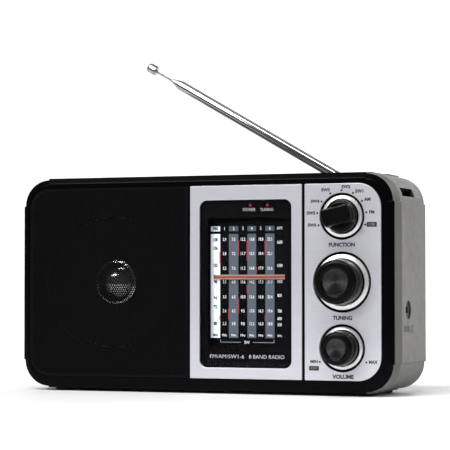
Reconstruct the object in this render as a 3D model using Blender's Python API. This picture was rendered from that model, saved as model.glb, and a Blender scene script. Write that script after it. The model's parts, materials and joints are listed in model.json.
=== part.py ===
"""Portable shortwave receiver with a telescopic antenna.

Metres, +Z up, front towards -Y, +X to the right of someone facing the front.
The origin is the bottom centre of the object's box.
"""

from math import acos, atan2, cos, degrees, hypot, pi, radians, sin

import bmesh
import bpy
from mathutils import Matrix, Vector

MM = 0.001
GAP = 0.3 * MM
SMOOTH_ANGLE = 35

# Case
CASE_WIDTH = 240.6 * MM
CASE_HEIGHT = 127.2 * MM
CASE_DEPTH = 72.0 * MM
CORNER = 17.2 * MM
CORNER_STEP = 0.9 * MM
WALL = 3.2 * MM
FOOT_HEIGHT = 1.3 * MM
FOOT_RADIUS = 6.0 * MM
FOOT_POCKET = 0.5 * MM
FRONT_WIDTH = 236.0 * MM
FRONT_HEIGHT = 126.6 * MM
FRONT_BEVEL = 3.4 * MM
FRONT_RIM_DEPTH = 1.5 * MM
FLARE_DEPTH = 5.5 * MM
SHELL_BACK = 57.5 * MM
LIP_BACK = 9.0 * MM
FACE_THICKNESS = 3.4 * MM
POCKET_DEPTH = 1.3 * MM
PANEL_LIFT = 0.4 * MM

# Front layout, from the middle of the front and the panels' middle height
PANEL_HEIGHT = 113.0 * MM
DIAL_PANEL = (-7.3 * MM, 62.5 * MM)
CONTROL_PANEL = (64.2 * MM, 110.2 * MM)
GRILLE = (-112.8 * MM, -9.0 * MM)
WINDOW = (-1.0 * MM, 55.8 * MM, -49.8 * MM, 47.7 * MM)
SCALE = (2.0 * MM, 54.0 * MM, -39.0 * MM, 39.0 * MM)
LED_HEIGHT = 44.8 * MM
LED_RADIUS = 1.5 * MM
LED_X = {"power_led": 29.9 * MM, "tuning_led": 40.5 * MM}

# Controls: height, panel hole, dish, knob base, knob front and reach from the front plane
CONTROL_X = 86.75 * MM
CONTROLS = {
    "function": (37.6 * MM, 13.5 * MM, 12.1 * MM, 9.8 * MM, 9.2 * MM, 12.6 * MM),
    "tuning": (-0.1 * MM, 17.45 * MM, 16.0 * MM, 13.2 * MM, 12.7 * MM, 14.0 * MM),
    "volume": (-37.9 * MM, 13.7 * MM, 12.3 * MM, 10.2 * MM, 9.7 * MM, 12.6 * MM),
}
SHAFT_RADIUS = 2.85 * MM
DISH_GAP = 0.4 * MM
GRIP_BAR_HALF = 5.4 * MM
FUNCTION_REST = 192.5

# Dial drive, in the plane where the cord runs
DRIVE_DEPTH = 20.0 * MM
CORD_RADIUS = 0.4 * MM
SPINDLE_PITCH = 3.0 * MM
PULLEY_PITCH = 4.0 * MM
AXLE_RADIUS = 1.4 * MM
DRUM_PITCH = 19.3 * MM
PULLEY_X = 62.0 * MM
PULLEY_Z = 46.0 * MM
DRUM_X = 80.0 * MM
DRUM_Z = -26.0 * MM
POINTER_Z = 2.9 * MM

# Speaker
SPEAKER_X = -61.0 * MM
SPEAKER_RADIUS = 45.0 * MM
SPEAKER_OPENING = 41.0 * MM

# Batteries
CELL_RADIUS = 17.1 * MM
CELL_LENGTH = 61.5 * MM
CELL_DEPTH = 52.0 * MM
CELL_ROWS = (-41.0 * MM, -6.0 * MM)
CELL_COLUMNS = (13.0 * MM, 75.5 * MM)
DOOR = (-19.0 * MM, 108.0 * MM, -53.7 * MM, 13.0 * MM)

# Carrying handle
HANDLE_PIVOT = (16.0 * MM, 59.4 * MM)
HANDLE_BACK = 57.0 * MM
GRIP_FRONT = 34.3 * MM
GRIP_HALF = 104.2 * MM
ARM_IN, ARM_OUT = 88.0 * MM, 95.0 * MM
TRAY_FRONT = 12.0 * MM
TRAY_FLOOR = 54.0 * MM
TRAY_WALL = 1.8 * MM
GRIP_SWING = 0.7 * MM
PIN_RADIUS = 1.8 * MM
PIN_REACH = 4.2 * MM

# Antenna
LEDGE_DEPTH = 59.9 * MM
LEDGE_Z = 38.0 * MM
ANTENNA_DEPTH = 63.5 * MM
ANTENNA_PIVOT = (92.5 * MM, 47.2 * MM)
ANTENNA_ELEVATION = 29.9
ELBOW_AT = 8.0 * MM
ELBOW_PIN = 1.0 * MM
SECTIONS = ((3.2, 2.85), (2.6, 2.3), (2.05, 1.75), (1.5, 1.2))
SECTION_END = 153.8 * MM
SECTION_STEP = 1.87 * MM
ROD_TIP = 178.3 * MM

# Side sockets
USB_ANGLE = 21.0
USB_DEPTH = 25.0 * MM
USB_SLOT = (25.6 * MM, 6.4 * MM)
JACK = (19.8 * MM, -16.1 * MM)
JACK_RECESS = (5.3 * MM, 1.3 * MM)

# Electronics, as boxes and places of (x, depth, height)
BOARD_BOX = ((-8 * MM, 32 * MM, -57 * MM), (95 * MM, 33.6 * MM, 50 * MM))
CORE_BOX = ((-111 * MM, 44 * MM, -24 * MM), (-77 * MM, 56 * MM, 12 * MM))
WINDING_BOX = ((-105 * MM, 42 * MM, -17 * MM), (-83 * MM, 66 * MM, 5 * MM))
INLET_BOX = ((-103 * MM, 55 * MM, -51 * MM), (-79 * MM, CASE_DEPTH - GAP, -38 * MM))
FERRITE_START = (-76 * MM, 24 * MM, 43 * MM)
FERRITE_LENGTH = 120.0 * MM
FERRITE_RADIUS = 4.6 * MM

KNOB_REACH = CONTROLS["tuning"][5]
FRONT_Y = -(CASE_DEPTH - KNOB_REACH) / 2
CASE_MIDDLE = -0.4 * MM
MID_Z = FOOT_HEIGHT + CASE_HEIGHT / 2 - CASE_MIDDLE
TOP = CASE_HEIGHT / 2 + CASE_MIDDLE


def at(x, depth, height):
    """A point from its place across, behind the front plane and above the panels' middle."""
    return Vector((x, FRONT_Y + depth, MID_Z + height))


def material(name, colour, roughness, metallic=0.0):
    look = bpy.data.materials.new(name)
    look.use_nodes = True
    shader = look.node_tree.nodes["Principled BSDF"]
    shader.inputs["Base Color"].default_value = (*colour, 1.0)
    shader.inputs["Roughness"].default_value = roughness
    shader.inputs["Metallic"].default_value = metallic
    look.diffuse_color = (*colour, 1.0)
    return look


def make(name, points, faces, look):
    """A closed object from points and faces, its faces turned outwards."""
    mesh = bpy.data.meshes.new(name)
    mesh.from_pydata([tuple(p) for p in points], [], faces)
    shape = bmesh.new()
    shape.from_mesh(mesh)
    bmesh.ops.recalc_face_normals(shape, faces=shape.faces)
    shape.to_mesh(mesh)
    shape.free()
    mesh.shade_smooth()
    mesh.set_sharp_from_angle(angle=radians(SMOOTH_ANGLE))
    thing = bpy.data.objects.new(name, mesh)
    thing.data.materials.append(look)
    bpy.context.collection.objects.link(thing)
    return thing


def loft(name, rings, look=None):
    """A solid through rings of equal point counts, closed at both ends."""
    count = len(rings[0])
    points = [p for ring in rings for p in ring]
    faces = [list(range(count)), [count * (len(rings) - 1) + i for i in range(count)]]
    for k in range(len(rings) - 1):
        for i in range(count):
            j = (i + 1) % count
            faces.append([k * count + i, k * count + j, (k + 1) * count + j, (k + 1) * count + i])
    return make(name, points, faces, look or CUTTER)


def turned(name, profile, look=None, segments=32):
    """A solid turned about local +Z from (radius, height) pairs.

    A profile that starts and ends at radius 0 is solid; any other closes on itself as a tube.
    """
    points, rows = [], []
    for radius, height in profile:
        if radius == 0:
            rows.append([len(points)])
            points.append((0, 0, height))
            continue
        rows.append([len(points) + i for i in range(segments)])
        for i in range(segments):
            turn = 2 * pi * i / segments
            points.append((radius * cos(turn), radius * sin(turn), height))
    pairs = list(zip(rows, rows[1:]))
    if profile[0][0] > 0:
        pairs.append((rows[-1], rows[0]))
    faces = []
    for low, high in pairs:
        for i in range(segments):
            j = (i + 1) % segments
            if len(low) == 1 and len(high) > 1:
                faces.append([low[0], high[i], high[j]])
            elif len(high) == 1 and len(low) > 1:
                faces.append([low[i], low[j], high[0]])
            elif len(low) > 1:
                faces.append([low[i], low[j], high[j], high[i]])
    return make(name, points, faces, look or CUTTER)


def rod(name, low, high, radius, look=None, segments=16):
    """A plain round rod along local +Z."""
    return turned(name, [(0, low), (radius, low), (radius, high), (0, high)], look, segments)


def block(name, low, high, look=None):
    """A box between two corners given as (x, depth, height)."""
    xs, ys, zs = zip(low, high)
    ring = [(xs[0], zs[0]), (xs[1], zs[0]), (xs[1], zs[1]), (xs[0], zs[1])]
    return loft(name, [[at(x, y, z) for x, z in ring] for y in ys], look)


def bar(name, low, high, look=None):
    """A box between two corners in plain local coordinates."""
    (x0, y0, z0), (x1, y1, z1) = low, high
    rings = [[(x0, y0, z), (x1, y0, z), (x1, y1, z), (x0, y1, z)] for z in (z0, z1)]
    return loft(name, rings, look)


def place(thing, location, rotation=(0, 0, 0)):
    thing.location = location
    thing.rotation_euler = [radians(a) for a in rotation]
    return thing


def settle(thing):
    """Fold an object's place into its mesh."""
    bpy.context.view_layer.update()
    thing.data.transform(thing.matrix_world)
    thing.matrix_world = Matrix.Identity(4)
    return thing


def combine(target, tool, operation="DIFFERENCE"):
    """Apply one exact boolean and throw the tool away."""
    step = target.modifiers.new(operation.lower(), "BOOLEAN")
    step.operation = operation
    step.solver = "EXACT"
    step.object = tool
    bpy.context.view_layer.update()
    graph = bpy.context.evaluated_depsgraph_get()
    mesh = bpy.data.meshes.new_from_object(target.evaluated_get(graph))
    target.modifiers.clear()
    target.data = mesh
    mesh.name = target.name
    bpy.data.objects.remove(tool)
    return target


def cut(target, *tools):
    for tool in tools:
        combine(target, tool)
    return target


def join(target, *tools):
    for tool in tools:
        combine(target, tool, "UNION")
    return target


def arc(centre, radius, start, end, steps):
    """Points (x, z) along an arc, angles in degrees."""
    turns = [radians(start + (end - start) * i / steps) for i in range(steps + 1)]
    return [(centre[0] + radius * cos(t), centre[1] + radius * sin(t)) for t in turns]


def case_outline(width, height, corner=CORNER, step=CORNER_STEP):
    """The case's section. Each corner arc lies a little inside the flats it joins."""
    points = []
    for i, (side, up) in enumerate(((1, 1), (-1, 1), (-1, -1), (1, -1))):
        centre = (side * (width / 2 - corner), up * (height / 2 - corner))
        start = 90 * i
        curve = arc(centre, corner - step, start, start + 90, 6)
        ends = arc(centre, corner, start, start + 90, 1)
        points += [ends[0], *curve, ends[1]] if step else curve
    return points


def case_ring(width, height, depth, corner=CORNER, step=CORNER_STEP):
    outline = case_outline(width, height, corner, step)
    return [at(x, depth, z + CASE_MIDDLE) for x, z in outline]


def rounded_outline(x0, x1, z0, z1, left, right):
    """A rectangle with its left and right corners rounded to two radii."""
    steps = 6
    points = arc((x1 - right, z1 - right), right, 0, 90, steps)
    points += arc((x0 + left, z1 - left), left, 90, 180, steps)
    points += arc((x0 + left, z0 + left), left, 180, 270, steps)
    points += arc((x1 - right, z0 + right), right, 270, 360, steps)
    return points


def plate(name, area, left, right, front, back, look=None):
    outline = rounded_outline(*area, left, right)
    return loft(name, [[at(x, y, z) for x, z in outline] for y in (front, back)], look)


def grown(area, margin):
    x0, x1, z0, z1 = area
    return (x0 - margin, x1 + margin, z0 - margin, z1 + margin)


def facing_front(thing, x, height, depth=0.0, spin=0.0):
    """Stand local +Z out of the front, at a place on it."""
    thing.matrix_world = (
        Matrix.Translation(at(x, depth, height))
        @ Matrix.Rotation(radians(90), 4, "X")
        @ Matrix.Rotation(radians(spin), 4, "Z")
    )
    return thing


def front_hole(x, height, radius, front=-5 * MM, back=9 * MM, segments=32):
    hole = rod("hole", -back, -front, radius, None, segments)
    return settle(facing_front(hole, x, height))


# ---------------------------------------------------------------- case


def front_cabinet(look):
    rim = (FRONT_WIDTH - 2 * FRONT_BEVEL, FRONT_HEIGHT - 2 * FRONT_BEVEL)
    inner = 2 * (WALL + 0.4 * MM)
    lip = (CASE_WIDTH - inner, CASE_HEIGHT - inner)
    lip_corner = CORNER - inner / 2
    hollow = 2 * 2.4 * MM
    body = loft(
        "front_cabinet",
        [
            case_ring(*rim, 0, CORNER - FRONT_BEVEL),
            case_ring(FRONT_WIDTH, FRONT_HEIGHT, FRONT_RIM_DEPTH),
            case_ring(*lip, FRONT_RIM_DEPTH, lip_corner),
            case_ring(*lip, LIP_BACK, lip_corner),
        ],
        look,
    )
    room = (lip[0] - hollow, lip[1] - hollow)
    room_corner = lip_corner - hollow / 2
    room_rings = [case_ring(*room, y, room_corner, 0) for y in (FACE_THICKNESS, 2 * LIP_BACK)]
    half = PANEL_HEIGHT / 2
    pockets = [
        plate("pocket", grown((*DIAL_PANEL, -half, half), GAP), MM, MM, -MM, POCKET_DEPTH),
        plate("pocket", grown((*CONTROL_PANEL, -half, half), GAP), MM, 14.3 * MM, -MM, POCKET_DEPTH),
        plate("pocket", grown((*GRILLE, -half, half), GAP), 12.3 * MM, MM, -MM, POCKET_DEPTH),
    ]
    openings = [plate("opening", SCALE, MM, MM, -MM, LIP_BACK)]
    openings.append(front_hole(SPEAKER_X, 0, SPEAKER_OPENING))
    for height, _, dish, *_ in CONTROLS.values():
        openings.append(front_hole(CONTROL_X, height, dish + GAP))
    for x in LED_X.values():
        openings.append(front_hole(x, LED_HEIGHT, LED_RADIUS + GAP, segments=10))
    cut(body, loft("room", room_rings), *pockets, *openings)
    for height in (PULLEY_Z, -PULLEY_Z):
        axle = rod("axle", -DRIVE_DEPTH - 3 * MM, -2.4 * MM, AXLE_RADIUS, None, 12)
        join(body, settle(facing_front(axle, PULLEY_X, height)))
    return body


def socket_frame():
    """Local +Z out of the top right corner, at the corner arc's centre."""
    centre = at(CASE_WIDTH / 2 - CORNER, USB_DEPTH, TOP - CORNER)
    return Matrix.Translation(centre) @ Matrix.Rotation(radians(90 - USB_ANGLE), 4, "Y")


def middle_shell(look):
    shell = loft(
        "middle_shell",
        [
            case_ring(FRONT_WIDTH + 0.6 * MM, FRONT_HEIGHT, FRONT_RIM_DEPTH + GAP),
            case_ring(CASE_WIDTH, CASE_HEIGHT, FLARE_DEPTH),
            case_ring(CASE_WIDTH, CASE_HEIGHT, SHELL_BACK - 0.7 * MM),
            case_ring(CASE_WIDTH - 1.2 * MM, CASE_HEIGHT - 1.2 * MM, SHELL_BACK, CORNER - 0.6 * MM),
        ],
        look,
    )
    inside = (CASE_WIDTH - 2 * WALL, CASE_HEIGHT - 2 * WALL)
    cavity = loft("cavity", [case_ring(*inside, y, CORNER - WALL, 0) for y in (0, CASE_DEPTH)])
    arms = ARM_OUT + 2 * MM
    wide = GRIP_HALF + GAP
    kept = wide + TRAY_WALL
    kept_front = (-kept, LIP_BACK + GAP, TRAY_FLOOR - TRAY_WALL)
    cut(cavity, block("keep", kept_front, (kept, 2 * CASE_DEPTH, 2 * TOP)))
    cut(
        shell,
        cavity,
        block("tray", (-arms, TRAY_FRONT, TRAY_FLOOR), (arms, GRIP_FRONT, 2 * TOP)),
        block("tray", (-wide, GRIP_FRONT - GRIP_SWING, TRAY_FLOOR), (wide, CASE_DEPTH, 2 * TOP)),
    )
    for side in (-1, 1):
        bore = rod("bore", -3 * MM, PIN_REACH + GAP, PIN_RADIUS + GAP)
        place(bore, at(side * ARM_OUT, *HANDLE_PIVOT), (0, 90 * side, 0))
        cut(shell, settle(bore))
    half_long, half_high = USB_SLOT[0] / 2, USB_SLOT[1] / 2
    slot = bar("slot", (-half_high, -half_long, 9 * MM), (half_high, half_long, 20 * MM))
    slot.matrix_world = socket_frame()
    cut(shell, settle(slot))
    for radius, depth in (JACK_RECESS, (3.5 * MM, 6 * MM)):
        hole = rod("hole", -depth, MM, radius)
        cut(shell, settle(place(hole, at(CASE_WIDTH / 2, *JACK), (0, 90, 0))))
    for x, depth in foot_places():
        pocket = rod("pocket", -MM, FOOT_POCKET + GAP, FOOT_RADIUS + GAP)
        cut(shell, settle(place(pocket, at(x, depth, -CASE_HEIGHT / 2 + CASE_MIDDLE))))
    return shell


def foot_places():
    return [(x, y) for y in (15 * MM, 48 * MM) for x in (-96 * MM, 96 * MM)]


def feet(look):
    top = FOOT_HEIGHT + FOOT_POCKET
    edge = 0.6 * MM
    profile = [(0, 0), (FOOT_RADIUS - edge, 0), (FOOT_RADIUS, edge), (FOOT_RADIUS, top), (0, top)]
    for i, (x, depth) in enumerate(foot_places()):
        foot = turned(f"foot_{i + 1}", profile, look, 16)
        place(foot, (x, FRONT_Y + depth, 0))


def rear_cover(look):
    start = (CASE_WIDTH - 2.4 * MM, CASE_HEIGHT - 2.4 * MM)
    end = (CASE_WIDTH - 14 * MM, CASE_HEIGHT - 10 * MM)
    face = (CASE_WIDTH - 15.6 * MM, CASE_HEIGHT - 11.6 * MM)
    cover = loft(
        "rear_cover",
        [
            case_ring(*start, SHELL_BACK + GAP, CORNER - 1.2 * MM),
            case_ring(*end, CASE_DEPTH - 0.8 * MM, CORNER - 5 * MM),
            case_ring(*face, CASE_DEPTH, CORNER - 5.8 * MM),
        ],
        look,
    )
    floor = CASE_DEPTH - 2.5 * MM
    room = loft(
        "room",
        [
            case_ring(CASE_WIDTH - 7.2 * MM, CASE_HEIGHT - 7.2 * MM, SHELL_BACK, CORNER - 3.6 * MM, 0),
            case_ring(CASE_WIDTH - 18 * MM, CASE_HEIGHT - 14 * MM, floor, CORNER - 7 * MM, 0),
        ],
    )
    wide = CASE_WIDTH
    cut(room, block("keep", (-wide, 0, LEDGE_Z - 2.5 * MM), (wide, 2 * CASE_DEPTH, 2 * TOP)))
    ledge = block("ledge", (-wide, LEDGE_DEPTH, LEDGE_Z), (wide, 2 * CASE_DEPTH, 2 * TOP))
    door = block("door", (DOOR[0], floor - MM, DOOR[2]), (DOOR[1], 2 * CASE_DEPTH, DOOR[3]))
    cut(cover, room, ledge, door)
    x, height = ANTENNA_PIVOT
    cut(cover, front_hole(x, height, 2.3 * MM, SHELL_BACK - MM, LEDGE_DEPTH + MM, 16))
    (x0, _, z0), (x1, _, z1) = INLET_BOX
    inlet = block("inlet", (x0 - GAP, floor - MM, z0 - GAP), (x1 + GAP, 2 * CASE_DEPTH, z1 + GAP))
    return cut(cover, inlet)


def battery_door(look):
    """The door over the cells. It hooks in along its lower edge and hinges there."""
    x0, x1, z0, z1 = grown(DOOR, -GAP)
    pivot = at((x0 + x1) / 2, CASE_DEPTH, z0)
    thick = 2.2 * MM
    half = (x1 - x0) / 2
    tall = z1 - z0
    door = bar("battery_door", (-half, -thick, 0), (half, 0, tall), look)
    finger = bar("finger", (-9 * MM, -0.8 * MM, tall - 12 * MM), (9 * MM, MM, tall - 6 * MM))
    cut(door, finger)
    return place(door, pivot)


# ---------------------------------------------------------------- front trim


def trim(looks):
    half = PANEL_HEIGHT / 2
    front, back = -PANEL_LIFT, POCKET_DEPTH - GAP
    corner = 0.6 * MM
    area = (*DIAL_PANEL, -half, half)
    dial_panel = plate("dial_panel", area, corner, corner, front, back, looks["silver"])
    cut(dial_panel, plate("hole", grown(WINDOW, GAP), 4.6 * MM, 4.6 * MM, -MM, 2 * MM))
    area = (*CONTROL_PANEL, -half, half)
    control_panel = plate("control_panel", area, corner, 14 * MM, front, back, looks["brushed"])
    for height, hole, *_ in CONTROLS.values():
        cut(control_panel, front_hole(CONTROL_X, height, hole))
    plate("speaker_grille", (*GRILLE, -half, half), 12 * MM, 0.8 * MM, 0.1 * MM, back, looks["grille"])
    plate("dial_window", WINDOW, 4.3 * MM, 4.3 * MM, -0.2 * MM, back, looks["window"])
    plate("dial_scale", grown(SCALE, -0.8 * MM), 0.6 * MM, 0.6 * MM, 6 * MM, 7 * MM, looks["scale"])
    for name, x in LED_X.items():
        dome = arc((0, -3.2 * MM), LED_RADIUS, 90, 0, 3)
        flange = LED_RADIUS + 0.4 * MM
        profile = dome + [(LED_RADIUS, -7 * MM), (flange, -7 * MM), (flange, -8 * MM), (0, -8 * MM)]
        profile[0] = (0, profile[0][1])
        facing_front(turned(name, profile, looks["led"], 10), x, LED_HEIGHT)


def dishes(look):
    """Bright cupped rings that the knobs stand in. The tuning dish carries its spindle's bearing."""
    for name, (height, _, rim, knob, _, _) in CONTROLS.items():
        floor, back = -1.8 * MM, -3.6 * MM
        bore = SHAFT_RADIUS + GAP
        cup = knob + DISH_GAP
        hub_back = -9 * MM if name == "tuning" else back - 0.4 * MM
        profile = [
            (rim, back),
            (rim, -0.1 * MM),
            (cup + 0.3 * MM, 0.5 * MM),
            (cup, 0.5 * MM),
            (cup, floor),
            (bore, floor),
            (bore, hub_back),
            (bore + 2.4 * MM, hub_back),
            (bore + 2.4 * MM, back),
        ]
        facing_front(turned(f"{name}_dish", profile, look, 32), CONTROL_X, height)


# ---------------------------------------------------------------- controls


def knob_profile(base, front, reach):
    """A turned knob with a rounded rim, a dished face and a blind bore."""
    bore = SHAFT_RADIUS + GAP
    rim = 1.6 * MM
    edge = [(x, z) for x, z in arc((front - rim, reach - rim), rim, 0, 90, 3)]
    face = [(0.66 * front, reach - 0.5 * MM), (0.62 * front, reach - MM), (0, reach - 1.5 * MM)]
    start = [(0, reach - 4 * MM), (bore, reach - 4 * MM), (bore, -1.2 * MM), (base, -1.2 * MM)]
    return start + edge + face


def knobs(look):
    for name in ("tuning", "volume"):
        height, _, _, base, front, reach = CONTROLS[name]
        knob = turned(f"{name}_knob", knob_profile(base, front, reach), look, 32)
        facing_front(knob, CONTROL_X, height)
    height, _, _, base, front, reach = CONTROLS["function"]
    bore = SHAFT_RADIUS + GAP
    low = 5.2 * MM
    disc = [
        (0, low - MM),
        (bore, low - MM),
        (bore, -1.2 * MM),
        (base, -1.2 * MM),
        (front, low - MM),
        (front - MM, low),
        (0, low),
    ]
    knob = turned("function_knob", disc, look, 32)
    grip = bar("grip", (-front, -GRIP_BAR_HALF, 3 * MM), (front, GRIP_BAR_HALF, reach))
    cut(grip, bar("room", (-bore, -bore, -MM), (bore, bore, reach - 4 * MM)))
    knob = join(knob, grip)
    cut(knob, rod("bore", -2 * MM, reach - 4 * MM, bore, None, 32))
    facing_front(knob, CONTROL_X, height, spin=FUNCTION_REST)


def shafts(look):
    for name, (height, *_, reach) in CONTROLS.items():
        tip = reach - 4.5 * MM
        back = -13 * MM
        profile = [(0, tip), (SHAFT_RADIUS, tip), (SHAFT_RADIUS, back), (0, back)]
        if name == "tuning":
            neck = SPINDLE_PITCH - CORD_RADIUS - GAP
            low, high = -DRIVE_DEPTH - 1.2 * MM, -DRIVE_DEPTH + 1.2 * MM
            end = low - 1.2 * MM
            profile[-2:] = [(SHAFT_RADIUS, high), (neck, high), (neck, low)]
            profile += [(SHAFT_RADIUS, low), (SHAFT_RADIUS, end), (0, end)]
        facing_front(turned(f"{name}_shaft", profile, look, 16), CONTROL_X, height)


def control_bodies(looks):
    """The rotary band switch and the volume control, each with a blind bore for its shaft."""
    bore = SHAFT_RADIUS + GAP
    for name, control, radius, depth in (
        ("band_switch", "function", 12 * MM, 16 * MM),
        ("volume_control", "volume", 8.4 * MM, 15 * MM),
    ):
        front = 4.4 * MM
        profile = [
            (bore, -front),
            (radius * 0.8, -front),
            (radius * 0.8, -front - 1.5 * MM),
            (radius, -front - 1.5 * MM),
            (radius, -depth),
            (0, -depth),
            (0, -13.6 * MM),
            (bore, -13.6 * MM),
        ]
        solid = [profile[-2], profile[-1], *profile[:-2]]
        facing_front(turned(name, solid, looks["metal"], 16), CONTROL_X, CONTROLS[control][0])


def wheel_profile(pitch, half, bore):
    """A grooved wheel about the cord's plane, with a through bore."""
    rim = pitch + 0.5 * MM
    root = pitch - CORD_RADIUS - GAP
    groove = CORD_RADIUS + GAP
    low = [(bore, -half), (rim, -half), (rim, -groove), (root, -groove)]
    return low + [(root, groove), (rim, groove), (rim, half), (bore, half)]


def dial_drive(looks):
    for name, height in (("upper_pulley", PULLEY_Z), ("lower_pulley", -PULLEY_Z)):
        profile = wheel_profile(PULLEY_PITCH, 1.4 * MM, AXLE_RADIUS + 0.4 * MM)
        pulley = turned(name, profile, looks["nylon"], 12)
        facing_front(pulley, PULLEY_X, height, DRIVE_DEPTH)
    axle = 2.5 * MM
    drum_half = 1.6 * MM
    drum_wheel = wheel_profile(DRUM_PITCH, drum_half, 0)
    profile = [(0, -6 * MM), (axle, -6 * MM), (axle, -drum_half), *drum_wheel[1:-1], (0, drum_half)]
    drum = turned("dial_drum", profile, looks["nylon"], 24)
    facing_front(drum, DRUM_X, DRUM_Z, DRIVE_DEPTH)
    front, back = DRIVE_DEPTH + 2.2 * MM, DRIVE_DEPTH + 11 * MM
    half = 10 * MM
    low = (DRUM_X - half, front, DRUM_Z - half)
    high = (DRUM_X + half, back, DRUM_Z + half)
    body = block("tuning_capacitor", low, high, looks["polymer"])
    cut(body, front_hole(DRUM_X, DRUM_Z, axle + GAP, front - MM, DRIVE_DEPTH + 6.5 * MM, 24))
    dial_cord(looks["cord"])
    dial_pointer(looks["pointer"])


def tangent_angle(first, second):
    """Where the outer cord leaves one wheel for the next, anticlockwise, in radians."""
    (x0, z0, r0), (x1, z1, r1) = first, second
    along = atan2(z1 - z0, x1 - x0)
    return along - acos((r0 - r1) / hypot(x1 - x0, z1 - z0))


def dial_cord(look):
    """One endless cord round the spindle, the drum and both pulleys."""
    wheels = [
        (CONTROL_X, CONTROLS["tuning"][0], SPINDLE_PITCH),
        (PULLEY_X, PULLEY_Z, PULLEY_PITCH),
        (PULLEY_X, -PULLEY_Z, PULLEY_PITCH),
        (DRUM_X, DRUM_Z, DRUM_PITCH),
    ]
    points = []
    for i, (x, z, radius) in enumerate(wheels):
        start = tangent_angle(wheels[i - 1], wheels[i])
        end = tangent_angle(wheels[i], wheels[(i + 1) % len(wheels)])
        if end < start:
            end += 2 * pi
        points += arc((x, z), radius, degrees(start), degrees(end), 6)
    curve = bpy.data.curves.new("dial_cord", "CURVE")
    curve.dimensions = "3D"
    curve.bevel_depth = CORD_RADIUS
    curve.bevel_resolution = 1
    spline = curve.splines.new("POLY")
    spline.points.add(len(points) - 1)
    spline.use_cyclic_u = True
    for point, (x, z) in zip(spline.points, points):
        point.co = (*at(x, DRIVE_DEPTH, z), 1)
    curve.materials.append(look)
    bpy.context.collection.objects.link(bpy.data.objects.new("dial_cord", curve))


def dial_pointer(look):
    """A thin bar across the scale, with an arm back to a clip at the cord's upright run."""
    half = 1.4 * MM
    front, back = 4.2 * MM, 5 * MM
    run = PULLEY_X - PULLEY_PITCH
    arm_x = run - CORD_RADIUS - GAP
    low = POINTER_Z - half
    high = POINTER_Z + half
    inset = 0.1 * MM
    pointer = block("dial_pointer", (5 * MM, front, low), (arm_x, back, high), look)
    arm_low = (arm_x - MM, front + inset, low + inset)
    arm_high = (arm_x - inset, DRIVE_DEPTH + MM, high - inset)
    return join(pointer, block("arm", arm_low, arm_high))


# ---------------------------------------------------------------- electronics


def electronics(looks):
    block("main_board", *BOARD_BOX, looks["board"])
    ferrite = rod("ferrite_rod", 0, FERRITE_LENGTH, FERRITE_RADIUS, looks["ferrite"])
    place(ferrite, at(*FERRITE_START), (0, 90, 0))
    inner, outer, length = FERRITE_RADIUS + 0.4 * MM, 7 * MM, 22 * MM
    tube = [(inner, 0), (outer, 0), (outer, length), (inner, length)]
    coil = turned("antenna_coil", tube, looks["copper"], 16)
    place(coil, at(10 * MM, *FERRITE_START[1:]), (0, 90, 0))
    core = block("power_transformer", *CORE_BOX, looks["iron"])
    join(core, block("winding", *WINDING_BOX))
    ac_inlet(looks["polymer"])
    usb_socket(looks["metal"])
    headphone_jack(looks["polymer"])


def ac_inlet(look):
    """A figure-of-eight mains inlet with its two pins, recessed in the back."""
    low, high = INLET_BOX
    inlet = block("ac_inlet", low, high, look)
    middle_x = (low[0] + high[0]) / 2
    middle_z = (low[2] + high[2]) / 2
    floor = high[1] - 10 * MM
    pins = [middle_x + side * 4.3 * MM for side in (-1, 1)]
    waist = 3.2 * MM
    waist_low = (pins[0], floor, middle_z - waist)
    cut(inlet, block("waist", waist_low, (pins[1], CASE_DEPTH + MM, middle_z + waist)))
    for x in pins:
        cut(inlet, front_hole(x, middle_z, 4.4 * MM, floor, CASE_DEPTH + MM, 16))
    for x in pins:
        join(inlet, front_hole(x, middle_z, 1.2 * MM, floor - 0.5 * MM, high[1] - 2 * MM, 8))
    return inlet


def usb_socket(look):
    """A socket at the bottom of a wide well behind the slot in the top right corner."""
    half_high, half_long = USB_SLOT[1] / 2, USB_SLOT[0] / 2
    rim = 0.8 * MM
    top = CORNER - CORNER_STEP - WALL - GAP
    outer_high, outer_long = half_high + rim, half_long + rim
    low = (-outer_high, -outer_long, -2.4 * MM)
    socket = bar("usb_socket", low, (outer_high, outer_long, top - MM), look)
    well_floor = top - 5 * MM
    cut(socket, bar("well", (-half_high, -half_long, well_floor), (half_high, half_long, 2 * CORNER)))
    cut(socket, bar("port", (-2.3 * MM, -6.3 * MM, well_floor - 9 * MM), (2.3 * MM, 6.3 * MM, top)))
    tongue_low = (-0.2 * MM, -5.6 * MM, well_floor - 9.5 * MM)
    join(socket, bar("tongue", tongue_low, (1.6 * MM, 5.6 * MM, well_floor - MM)))
    socket.matrix_world = socket_frame()
    return socket


def headphone_jack(look):
    face = -1.5 * MM
    wall_back = -WALL - GAP
    profile = [
        (2.2 * MM, face),
        (3.2 * MM, face),
        (3.2 * MM, wall_back),
        (5.5 * MM, wall_back),
        (5.5 * MM, -14.5 * MM),
        (0, -14.5 * MM),
        (0, -13 * MM),
        (2.2 * MM, -13 * MM),
    ]
    solid = [profile[-2], profile[-1], *profile[:-2]]
    jack = turned("headphone_jack", solid, look, 16)
    return place(jack, at(CASE_WIDTH / 2, *JACK), (0, 90, 0))


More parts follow.
